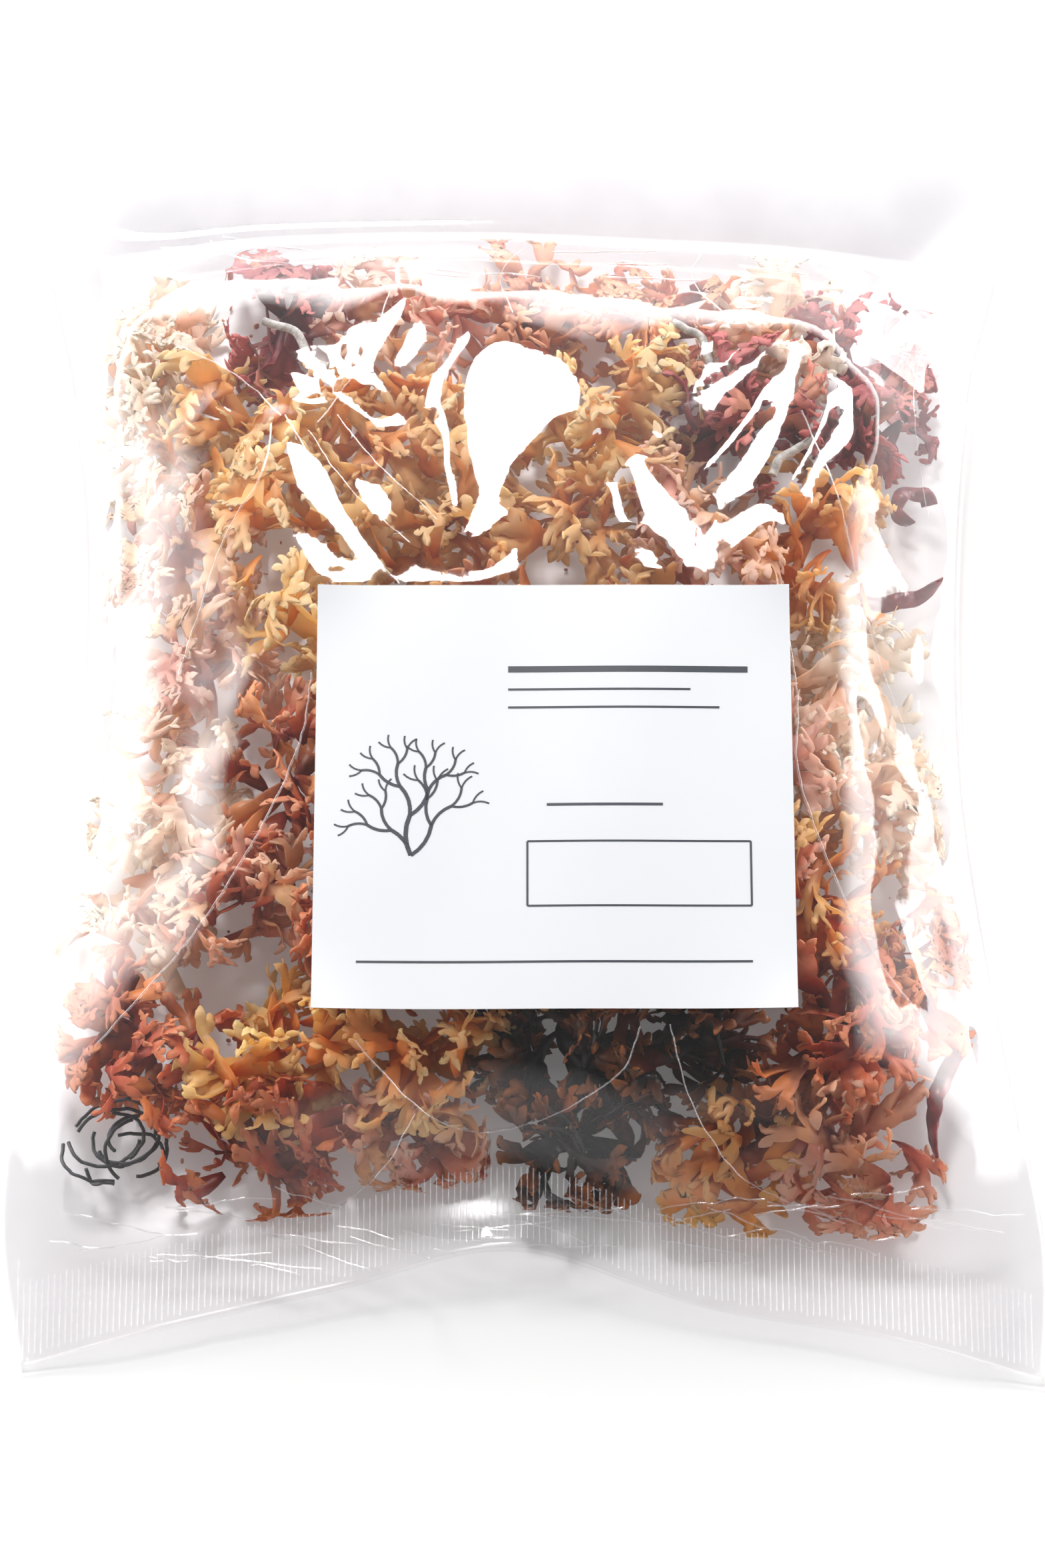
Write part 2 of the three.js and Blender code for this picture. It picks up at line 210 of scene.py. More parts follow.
def grown(name, base, tree, values):
    """The plain object that a Geometry Nodes tree makes out of a base mesh."""
    holder = linked(name, base)
    modifier = holder.modifiers.new("grown", "NODES")
    modifier.node_group = tree
    for socket in tree.interface.items_tree:
        if socket.in_out == "INPUT" and socket.name in values:
            modifier[socket.identifier] = values[socket.name]
    return finished(holder)


def walled(name, mesh, thickness, offset):
    """A smooth object made by giving a mesh a thickness."""
    holder = linked(name, mesh)
    wall = holder.modifiers.new("wall", "SOLIDIFY")
    wall.thickness = thickness
    wall.offset = offset
    return smooth(finished(holder))


def mesh_of(name, points, faces=(), edges=()):
    """A mesh from lists of points and faces, or edges."""
    mesh = bpy.data.meshes.new(name)
    mesh.from_pydata([tuple(p) for p in points], list(edges), list(faces))
    mesh.update()
    return mesh


def piece(made, slot, *replaced, material=None):
    """A piece of the object: it rides on the one body, and may stand for CAD nodes."""
    if material:
        made.data.materials.clear()
        made.data.materials.append(material)
    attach(made, ROOT)
    if replaced:
        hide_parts(*replaced)
    return made


# Materials

def new_material(name):
    """An empty node material."""
    material = bpy.data.materials.new(name)
    material.use_nodes = True
    material.node_tree.nodes.clear()
    return material, material.node_tree


def surfaced(material, shader):
    """The material with this shader node as its surface."""
    node(material.node_tree, "ShaderNodeOutputMaterial", {"Surface": shader.outputs[0]})
    return material


def object_place(tree):
    """Object coordinates, in metres."""
    return node(tree, "ShaderNodeTexCoord").outputs["Object"]


def noise(tree, place, scale, detail=3.0, roughness=0.5):
    """A noise value round 0.5."""
    wired = {"Vector": place, "Scale": scale, "Detail": detail, "Roughness": roughness}
    return node(tree, "ShaderNodeTexNoise", wired).outputs["Fac"]


def ramp(tree, value, *stops):
    """A value or colour from a ramp of (place, colour) stops."""
    made = node(tree, "ShaderNodeValToRGB", {"Fac": value})
    for element, (place, colour) in zip(made.color_ramp.elements, stops):
        element.position = place
        element.color = colour if isinstance(colour, tuple) else (colour, colour, colour, 1)
    return made.outputs["Color"]


def bumped(tree, height, strength, distance):
    """The normal of a surface with this relief."""
    relief = {"Height": height, "Strength": strength, "Distance": distance}
    return node(tree, "ShaderNodeBump", relief).outputs[0]


CRUST_COLOUR = (0.78, 0.74, 0.68, 1)


def dried_blade_group():
    """Colour, roughness and relief of a dried blade, with pale tips, blotches and chalky crust."""
    takes = {
        "Root": (0.3, 0.1, 0.03, 1),
        "Body": (0.6, 0.3, 0.08, 1),
        "Tip": (0.8, 0.6, 0.3, 1),
        "Other": (0.5, 0.2, 0.1, 1),
        "Crust": 0.1,
    }
    results = {"Color": "Color", "Roughness": "Float", "Height": "Float"}
    tree, values, gives = new_tree("dried_blade", "ShaderNodeTree", takes, results)
    place = object_place(tree)
    along = node(tree, "ShaderNodeAttribute", attribute_name="along").outputs["Fac"]
    shade = node(tree, "ShaderNodeAttribute", attribute_name="shade").outputs["Fac"]
    blotch = noise(tree, place, 220.0, 4.0, 0.6)
    patch = noise(tree, place, 45.0, 2.0)
    speck = noise(tree, place, 900.0, 2.0, 0.7)

    # From root to tip, with some whole fronds in the other colour
    wandering = sum_of(tree, "MULTIPLY_ADD", sum_of(tree, "SUBTRACT", blotch, 0.5), 0.5, along)
    near = ramp(tree, wandering, (0.05, 0.0), (0.5, 1.0))
    far = ramp(tree, wandering, (0.55, 0.0), (1.05, 1.0))
    body = mixed(tree, ramp(tree, shade, (0.55, 0.0), (0.75, 1.0)), values["Body"], values["Other"])
    colour = mixed(tree, near, values["Root"], body)
    colour = mixed(tree, far, colour, values["Tip"])
    darker = sum_of(tree, "MULTIPLY", ramp(tree, patch, (0.35, 0.5), (0.65, 0.0)), 0.4)
    colour = mixed(tree, darker, colour, values["Root"])

    crusted = sum_of(tree, "MULTIPLY_ADD", speck, 0.4, sum_of(tree, "MULTIPLY", patch, 0.6))
    edge = sum_of(tree, "SUBTRACT", 0.72, values["Crust"])
    crust = sum_of(tree, "MULTIPLY", sum_of(tree, "SUBTRACT", crusted, edge), 14.0, clamp=True)
    colour = mixed(tree, crust, colour, CRUST_COLOUR)
    rough = sum_of(tree, "MULTIPLY_ADD", crust, 0.4, sum_of(tree, "MULTIPLY_ADD", blotch, 0.3, 0.25))
    height = sum_of(tree, "MULTIPLY_ADD", crust, 1.5, blotch)

    # Towards the lower seal the moss is darker and redder: painted shade, for less light reaching the lower
    # end
    painted_shade_power = mapped(tree, split_of(tree, place)[1], -0.09, 0.01, 1.7, 1.0)
    colour = node(tree, "ShaderNodeGamma", {0: colour, 1: painted_shade_power}).outputs[0]
    for name, value in {"Color": colour, "Roughness": rough, "Height": height}.items():
        tree.links.new(value, gives[name])
    return tree


DRIED_BLADE = dried_blade_group()


def moss_material(name, root, body, tip, other, crust, glow):
    """A dried frond: gelatinous, so that light comes through the blade, with a satin surface."""
    material, tree = new_material(name)
    blade = node(tree, "ShaderNodeGroup", node_tree=DRIED_BLADE)
    for socket, colour in zip(("Root", "Body", "Tip", "Other"), (root, body, tip, other)):
        blade.inputs[socket].default_value = (*colour, 1)
    blade.inputs["Crust"].default_value = crust
    colour = blade.outputs["Color"]
    bump = bumped(tree, blade.outputs["Height"], 0.35, 0.3 * MM)
    skin = {"Base Color": colour, "Roughness": blade.outputs["Roughness"], "Normal": bump}
    skin = node(tree, "ShaderNodeBsdfPrincipled", skin)
    through = node(tree, "ShaderNodeBsdfTranslucent", {"Color": colour, "Normal": bump})
    mix = node(tree, "ShaderNodeMixShader", {0: glow, 1: skin.outputs[0], 2: through.outputs[0]})
    return surfaced(material, mix)


# For each colour of moss: the colours at the root, on the blade, at the tips and on its odd fronds,
# how much crust it carries, and how much light it lets through
MOSS = {
    "gold": ((0.86, 0.44, 0.12), (0.98, 0.75, 0.36), (0.99, 0.9, 0.64), (0.95, 0.58, 0.25), 0.02, 0.62),
    "amber": ((0.65, 0.22, 0.06), (0.95, 0.57, 0.22), (0.98, 0.8, 0.48), (0.96, 0.72, 0.36), 0.05, 0.62),
    "cream": ((0.92, 0.64, 0.44), (0.98, 0.87, 0.75), (0.99, 0.96, 0.88), (0.97, 0.75, 0.62), 0.1, 0.6),
    "rose": ((0.62, 0.22, 0.14), (0.93, 0.6, 0.48), (0.98, 0.82, 0.7), (0.95, 0.72, 0.45), 0.09, 0.6),
    "rust": ((0.34, 0.045, 0.025), (0.76, 0.25, 0.13), (0.94, 0.56, 0.34), (0.9, 0.5, 0.22), 0.05, 0.5),
    "maroon": ((0.15, 0.015, 0.02), (0.45, 0.07, 0.085), (0.72, 0.22, 0.2), (0.8, 0.36, 0.2), 0.04, 0.45),
    "dark": ((0.012, 0.003, 0.003), (0.06, 0.012, 0.008), (0.6, 0.28, 0.08), (0.3, 0.06, 0.02), 0.02, 0.3),
}

# The gloss of one skin of the film, what light keeps when it passes a skin (less over the crimp and where the
# film is slack, which is painted shade), and the colour of its milkiness, which also carries painted
# reflection
FILM_INDEX = 1.38
CLEAR_TINT = (0.99, 0.987, 0.99, 1)
CRIMP_PAINTED_SHADE = (0.996, 0.991, 0.993, 1)
SLACK_PAINTED_SHADE = (0.966, 0.962, 0.967, 1)
MILK_AND_REFLECTION_COLOUR = (0.95, 0.94, 0.96, 1)
FRONT_MILK_AND_REFLECTION, FRONT_ROUGH = 0.02, 0.05
BACK_MILK_AND_REFLECTION, BACK_ROUGH = 0.015, 0.25


def film_material(name, milk_and_reflection, rough):
    """Clear film with the gloss of its two skins, a trace of milk that is painted reflection towards the
    sides and upper end, and painted grey shade where it is slack and over the crimp.
    """
    material, tree = new_material(name)
    place = object_place(tree)
    x, y, _ = split_of(tree, place)
    aside = sum_of(tree, "ABSOLUTE", x)
    bump = bumped(tree, noise(tree, place, 130.0, 3.0), 0.2, 0.3 * MM)

    # Beyond the fill, at the upper end and at both sides, the film is slack and finely wrinkled; these
    # wrinkles, and the crimp, darken what light keeps: painted shade
    above = mapped(tree, y, 0.088, 0.106, 0.0, 1.0)
    beside = mapped(tree, aside, 0.088, 0.1, 0.0, 0.6)
    painted_wrinkle_shade = ramp(tree, noise(tree, place, 42.0, 4.0, 0.6), (0.38, 0.45), (0.6, 1.0))
    slack = sum_of(tree, "MULTIPLY", sum_of(tree, "MAXIMUM", above, beside), painted_wrinkle_shade)
    crimp = node(tree, "ShaderNodeAttribute", attribute_name="crimp").outputs["Fac"]
    tint_with_painted_shade = mixed(tree, slack, mixed(tree, crimp, CLEAR_TINT, CRIMP_PAINTED_SHADE), SLACK_PAINTED_SHADE)
    clear = node(tree, "ShaderNodeBsdfTransparent", {"Color": tint_with_painted_shade})

    # Seen from inside its skin, the film has the inverse index
    gloss = node(tree, "ShaderNodeBsdfGlossy", {"Color": (1, 1, 1, 1), "Roughness": rough, "Normal": bump})
    inner = node(tree, "ShaderNodeNewGeometry").outputs["Backfacing"]
    index = sum_of(tree, "MULTIPLY_ADD", inner, 1 / FILM_INDEX - FILM_INDEX, FILM_INDEX)
    fresnel = node(tree, "ShaderNodeFresnel", {"IOR": index, "Normal": bump}).outputs[0]
    skin = node(tree, "ShaderNodeMixShader", {0: fresnel, 1: clear.outputs[0], 2: gloss.outputs[0]})

    # The milk: a trace of the film's own milkiness, grown towards both sides and the upper end into a painted
    # reflection of the bright surround and the light from above
    milk = node(tree, "ShaderNodeBsdfDiffuse", {"Color": MILK_AND_REFLECTION_COLOUR})
    cloud = ramp(tree, noise(tree, place, 14.0, 3.0), (0.35, 0.2), (0.75, 1.0))
    outer = mapped(tree, aside, 0.06, 0.1, 0.0, 1.6)
    upper = mapped(tree, y, -0.08, 0.11, 0.1, 1.2)
    mask = sum_of(tree, "MULTIPLY", sum_of(tree, "MULTIPLY", cloud, sum_of(tree, "ADD", outer, upper)), milk_and_reflection)
    whole = node(tree, "ShaderNodeMixShader", {0: mask, 1: skin.outputs[0], 2: milk.outputs[0]})
    return surfaced(material, whole)


def ridge_material():
    """A fold in the film: more of the same clear gloss, whiter where it turns on edge."""
    material, tree = new_material("film_folds")
    clear = node(tree, "ShaderNodeBsdfTransparent", {"Color": (0.985, 0.98, 0.985, 1)})
    gloss = node(tree, "ShaderNodeBsdfGlossy", {"Color": (1, 1, 1, 1), "Roughness": 0.12})
    facing = node(tree, "ShaderNodeLayerWeight", {"Blend": 0.35}).outputs["Facing"]
    amount = sum_of(tree, "MULTIPLY_ADD", facing, 0.5, 0.12)
    skin = node(tree, "ShaderNodeMixShader", {0: amount, 1: clear.outputs[0], 2: gloss.outputs[0]})
    return surfaced(material, skin)


def paper_material():
    """Smooth label paper with faint fibres and a soft sheen."""
    material, tree = new_material("label_paper")
    place = object_place(tree)
    fibre = noise(tree, place, 2500.0, 4.0, 0.7)
    cloud = ramp(tree, noise(tree, place, 30.0, 2.0), (0.3, 0.0), (0.8, 1.0))
    paper = {
        "Base Color": mixed(tree, cloud, (0.57, 0.575, 0.59, 1), (0.545, 0.555, 0.58, 1)),
        "Roughness": sum_of(tree, "MULTIPLY_ADD", fibre, 0.1, 0.3),
        "Normal": bumped(tree, fibre, 0.08, 0.05 * MM),
        "Specular IOR Level": 0.4,
    }
    return surfaced(material, node(tree, "ShaderNodeBsdfPrincipled", paper))


def rough_material(name, low, high, scale, roughness, relief):
    """A mottled natural surface between two colours, with relief at the same scale."""
    material, tree = new_material(name)
    mottle = noise(tree, object_place(tree), scale, 5.0, 0.65)
    skin = {
        "Base Color": mixed(tree, ramp(tree, mottle, (0.35, 0.0), (0.65, 1.0)), (*low, 1), (*high, 1)),
        "Roughness": sum_of(tree, "MULTIPLY_ADD", mottle, 0.2, roughness),
        "Normal": bumped(tree, mottle, 0.6, relief),
    }
    return surfaced(material, node(tree, "ShaderNodeBsdfPrincipled", skin))


# The films

FILM_THICKNESS = 0.12 * MM

# How often each quad of a film's CAD face is divided, and where the crimp of the lower seal ends
FRONT_LEVELS = 3
BACK_LEVELS = 2
CRIMP_TOP = -108 * MM

# The camera stands in front of the pouch's lower edge and looks down on it
TARGET = np.array([0, -17.5, 15]) * MM
ELEVATION = math.radians(70)
DISTANCE = 960 * MM
EYE = TARGET + DISTANCE * np.array([0, -math.cos(ELEVATION), math.sin(ELEVATION)])

# The softbox that the creased film mirrors, in metres and watts
LAMP = TARGET + 1.6 * np.array([-0.12, 0.62, 0.775])
LAMP_SIDE = 0.3
LAMP_POWER = 20.0

# The sky is bright in a low band all round, least on the camera's side, and dark overhead where flat film
# would mirror it
SKY_LIGHT = 7.9
SKY_DARK = 0.04


def mirror_slope(x, y, z=32.0):
    """The slope of film, along x and y, that shows the softbox to the camera. Points are in millimetres."""
    point = np.stack(np.broadcast_arrays(x, y, z), -1) * MM
    to_eye = EYE - point
    to_lamp = LAMP - point
    n = to_eye / np.linalg.norm(to_eye, axis=-1, keepdims=True)
    n = n + to_lamp / np.linalg.norm(to_lamp, axis=-1, keepdims=True)
    return -n[..., 0] / n[..., 2], -n[..., 1] / n[..., 2]


# Stretches of film between creases that lie in the one plane that mirrors the softbox, in millimetres
BRIGHT = {
    "blob": [(-5, 80.5), (3, 78), (10, 75), (13.5, 68), (13, 64), (11, 59), (9, 63), (7, 66), (6, 58),
             (-2, 49.5), (-9, 37), (-21, 23), (-10.5, 37), (-10, 42), (-12.5, 51), (-13.5, 70), (-11, 76)],
    "left_arm": [(28.5, 58), (23, 48), (24, 41), (28, 32), (33, 23.5), (40, 24), (38, 28), (41, 38), (34, 41),
                 (30, 45), (24.5, 49.5), (26, 54)],
    "diagonal": [(38.5, 39.5), (41.5, 38), (49.5, 46), (53, 51.5), (60, 66), (60.5, 77), (56, 78.5), (54, 60),
                 (50, 56), (44.5, 49)],
    "top_arm": [(30, 61), (36, 64), (48, 74), (57, 81), (63, 79), (64.5, 74.5), (56, 77), (46, 68.5),
                (40.5, 65)],
    "right_arm": [(64, 74), (72, 68), (71.5, 55), (65.5, 48), (61, 36), (59, 36), (59, 42), (66.5, 56.5),
                  (70, 66)],
    "low_right": [(38.5, 23), (42, 24), (48, 31), (51.5, 34.5), (56, 31), (56.5, 37), (50.5, 40), (45, 35)],
    "low_left": [(20.5, 32), (25.5, 31), (32, 24.5), (27, 26)],
    "left_streak": [(-53, 64), (-50.5, 58), (-43.5, 49.5), (-38.5, 38), (-29, 23), (-37, 29), (-48, 42.5),
                    (-51.5, 55)],
    "left_wing": [(-84, 88), (-72.5, 82.5), (-62, 73.5), (-52.5, 64), (-58, 68), (-68, 77), (-73, 80.5),
                  (-84, 86)],
    "wedge": [(-26, 93), (-24, 93), (-30, 80), (-35, 73), (-33, 80)],
    "glint": [(-53, 72.5), (-48, 72), (-42, 67), (-48.5, 68.5)],
}


def inside(points, outline):
    """Which of the points (n, 2) lie inside an outline."""
    x, y = points[:, 0], points[:, 1]
    hit = np.zeros(len(points), bool)
    for (x0, y0), (x1, y1) in zip(outline, outline[1:] + outline[:1]):
        crosses = (y0 > y) != (y1 > y)
        hit ^= crosses & (x < (x1 - x0) * (y - y0) / ((y1 - y0) or 1e-9) + x0)
    return hit


def wave_numbers(grid):
    """The wave numbers of a grid's two axes, as a column and a row."""
    kx, ky = (np.fft.fftfreq(n) * TAU for n in grid.shape)
    return kx[:, None], ky[None, :]


def solve_heights(gx, gy):
    """The height field, on a grid that repeats, whose gradient comes nearest to a given one."""
    ex, ey = (np.exp(1j * k) - 1 for k in wave_numbers(gx))
    weight = np.abs(ex) ** 2 + np.abs(ey) ** 2
    weight[0, 0] = 1
    top = np.conj(ex) * np.fft.fft2(gx) + np.conj(ey) * np.fft.fft2(gy)
    return np.real(np.fft.ifft2(top / weight))


def blurred(mask, size):
    """A mask spread out to a soft bump, size grid steps wide."""
    kx, ky = wave_numbers(mask)
    spread = np.exp(-0.5 * size * size * (kx ** 2 + ky ** 2))
    return np.real(np.fft.ifft2(np.fft.fft2(mask) * spread))


class Creases:
    """How far the tension in the front film lifts it off the plain swell of the pouch.

    Where the film is taut it makes flat plates, each with its own slope, and bends only between them.
    """

    # The grid has a step of 1 mm and goes this far beyond the pouch. Below the seam level the film is held
    MARGIN = 14
    ROUNDS = 150
    SEAM_LEVEL = 7.0

    # A rim round each plate tilts away from it, so that the plate's outline stays crisp
    RIM = 3
    RIM_FALL = 0.15
    RIM_HOLD = 0.1

    # Other film is pushed off the slope that mirrors the lamp when it comes this close to it
    DODGE = 0.1
    DODGE_PULL = 0.15

    # How firmly slack film holds its slope, how steep its crumples are, and how large
    SLACK = 0.03
    CRUMPLE = 0.11
    CRUMPLE_CELL = 13.0

    def __init__(self, film):
        low, high = CAD_BOX[0] / MM, CAD_BOX[1] / MM
        self.x = np.arange(math.floor(low[0]) - self.MARGIN, high[0] + self.MARGIN)
        self.y = np.arange(math.floor(low[1]) - self.MARGIN, high[1] + self.MARGIN)
        grid = np.stack(np.meshgrid(self.x, self.y, indexing="ij"), -1).reshape(-1, 2)
        shape = len(self.x), len(self.y)
        base = np.array([self.drop(film, x, y) for x, y in grid]).reshape(shape)
        self.lower_edge = [(x, self.y[~np.isnan(column)][0]) for x, column in zip(self.x, base)
                           if not np.isnan(column).all()]
        held = np.isnan(base) | (base < self.SEAM_LEVEL)
        label_low, label_high = (c / MM for c in corners("label"))
        under = ((grid > label_low[:2] - 2) & (grid < label_high[:2] + 2)).all(1).reshape(shape)
        held |= under
        sx, sy = self.slopes(np.nan_to_num(base))
        gx, gy, weight = self.crumples(grid, shape)
        for outline in BRIGHT.values():
            tilt = mirror_slope(*np.mean(outline, axis=0))
            plate = inside(grid, outline).reshape(shape) & ~held
            bump = blurred(plate.astype(float), 1.6)
            inward = np.stack(self.slopes(bump))
            inward /= np.maximum(np.hypot(*inward), 1e-6)
            rim = (blurred(plate.astype(float), self.RIM) > 0.06) & ~plate & ~held & (weight < 1)
            for g, s, t, fall in ((gx, sx, tilt[0], inward[0]), (gy, sy, tilt[1], inward[1])):
                g[plate] = t - s[plate]
                g[rim] = t + self.RIM_FALL * fall[rim] - s[rim]
            weight[rim] = self.RIM_HOLD
            weight[plate] = 1.0
        weight[held] = 1.0
        gx[held] = gy[held] = 0
        dodge = ~held & (weight < 1)
        mx, my = (m.reshape(shape) for m in mirror_slope(grid[:, 0], grid[:, 1]))
        lift = last = np.zeros(shape)
        for k in range(self.ROUNDS):
            ahead = lift + k / (k + 3) * (lift - last)
            dx, dy = self.slopes(ahead)
            ox, oy = dx + sx - mx, dy + sy - my
            off = np.maximum(np.hypot(ox, oy), 1e-6)
            near = dodge & (off < self.DODGE)
            push = np.where(near, self.DODGE_PULL * (self.DODGE / off - 1), 0)
            last = lift
            lift = solve_heights(dx + weight * (gx - dx) + push * ox, dy + weight * (gy - dy) + push * oy)
        self.lift = lift - lift[under].mean()

    def crumples(self, grid, shape):
        """Small plates with slopes of their own, all over the film, and how firmly each holds."""
        draw = np.random.default_rng(7)
        count = int(len(grid) / self.CRUMPLE_CELL ** 2)
        seeds = grid[draw.integers(0, len(grid), count)] + draw.uniform(-1, 1, (count, 2))
        own = np.argmin(((grid[:, None, :] - seeds[None, :, :]) ** 2).sum(-1), 1)
        slope = draw.normal(0, self.CRUMPLE, (count, 2))
        gx, gy = slope[own, 0].reshape(shape).copy(), slope[own, 1].reshape(shape).copy()
        return gx, gy, np.full(shape, self.SLACK)

    @staticmethod
    def slopes(height):
        """Forward differences along x and y."""
        return np.roll(height, -1, 0) - height, np.roll(height, -1, 1) - height

    @staticmethod
    def drop(film, x, y):
        """The height of the film's upper face at a point, or NaN beside the film."""
        hit = film.ray_cast(Vector((x * MM, y * MM, 0.1)), Vector((0, 0, -1)))[0]
        return hit.z / MM if hit else math.nan

    def at(self, x, y):
        """The lift, in metres, at points given in metres."""
        u = np.clip(x / MM - self.x[0], 0, len(self.x) - 1.001)
        v = np.clip(y / MM - self.y[0], 0, len(self.y) - 1.001)
        i, j = u.astype(int), v.astype(int)
        s, t = u - i, v - j
        z = self.lift
        low = z[i, j] * (1 - s) + z[i + 1, j] * s
        high = z[i, j + 1] * (1 - s) + z[i + 1, j + 1] * s
        return (low * (1 - t) + high * t) * MM


def film_face(node_name, side, levels):
    """One face of a CAD film (side 1 is its upper, -1 its lower face) as finely divided quads."""
    bm = bmesh.new()
    bm.from_mesh(NODES[node_name].data)
    bmesh.ops.remove_doubles(bm, verts=bm.verts, dist=0.01 * MM)
    others = [f for f in bm.faces if f.normal.z * side < 0.15]
    bmesh.ops.delete(bm, geom=others, context="FACES")
    bmesh.ops.join_triangles(bm, faces=bm.faces, angle_face_threshold=math.pi, angle_shape_threshold=math.pi)
    mesh = bpy.data.meshes.new(node_name + "_face")
    bm.to_mesh(mesh)
    bm.free()
    holder = linked("film_face", mesh)
    divide = holder.modifiers.new("divide", "SUBSURF")
    divide.levels = divide.render_levels = levels
    divide.boundary_smooth = "PRESERVE_CORNERS"
    mesh = finished(holder).data
    bpy.data.objects.remove(holder)
    return mesh


def coordinates(mesh):
    """All the points of a mesh, as an (n, 3) array."""
    flat = np.empty(len(mesh.vertices) * 3, np.float32)
    mesh.vertices.foreach_get("co", flat)
    return flat.reshape(-1, 3).astype(float)


def film_piece(name, mesh, lift, material, replaced):
    """A thin closed film from its outer face, with its crimp marked."""
    points = coordinates(mesh)
    points[:, 2] += lift(points)
    lower = np.clip((CRIMP_TOP - points[:, 1]) / (8 * MM), 0, 1)
    flat = np.clip((11 * MM - points[:, 2]) / (5 * MM), 0, 1)
    crimp = mesh.attributes.new("crimp", "FLOAT", "POINT")
    crimp.data.foreach_set("value", (lower * flat).astype(np.float32))
    mesh.vertices.foreach_set("co", points.astype(np.float32).ravel())
    mesh.update()
    return piece(walled(name, mesh, FILM_THICKNESS, -1), "film", replaced, material=material)


def ripples(points, seed, height, length):
    """A smooth random lift made of a few long waves, in metres."""
    draw = random.Random(seed)
    lift = np.zeros(len(points))
    for _ in range(9):
        way = draw.uniform(0, TAU)
        size = length * draw.uniform(0.6, 1.6)
        along = points[:, 0] * math.cos(way) + points[:, 1] * math.sin(way)
        lift += np.sin(TAU * along / size + draw.uniform(0, TAU)) * size / length
    return lift * height / 3


def bvh(mesh):
    """A tree for rays onto a mesh."""
    bm = bmesh.new()
    bm.from_mesh(mesh)
    made = BVHTree.FromBMesh(bm)
    bm.free()
    return made


def make_films():
    """Both films, and the creases of the front one."""
    front_face = film_face("film_front", 1, FRONT_LEVELS)
    back_face = film_face("film_back", -1, BACK_LEVELS)
    creases = Creases(bvh(front_face))
    low, high = corners("label")

    def front_lift(points):
        raised = np.clip((points[:, 2] - 3 * MM) / (8 * MM), 0, 1)
        gap = np.maximum(low[:2] - points[:, :2], points[:, :2] - high[:2]).max(1)
        free = np.clip(gap / (10 * MM), 0, 1) * raised
        return creases.at(points[:, 0], points[:, 1]) * raised + ripples(points, 3, 0.1 * MM, 20 * MM) * free

    def back_lift(points):
        return ripples(points, 5, 0.3 * MM, 40 * MM) * np.clip(points[:, 2] / (3 * MM), 0, 1)

    front_look = film_material("film_front", FRONT_MILK_AND_REFLECTION, FRONT_ROUGH)
    back_look = film_material("film_back", BACK_MILK_AND_REFLECTION, BACK_ROUGH)
    front = film_piece("pouch_front_film", front_face, front_lift, front_look, "film_front")
    back = film_piece("pouch_back_film", back_face, back_lift, back_look, "film_back")
    return front, back, creases


# The moss

BLADE_THICKNESS = 0.4 * MM
FROND_LENGTH = 24.0
VARIANTS = 10

# Each branch is shorter than the one it grows from, and is built in a few steps
SHORTER = 0.76
BRANCH_STEPS = 3
STALK_WIDTH = 1.6

# How wide a frond's branches end, in millimetres, from its stalk to its tips, for a big and a small frond
BIG = (6.6, 6.2, 5.0, 3.6, 0.8)
SMALL = (6.4, 5.4, 3.8, 0.8)


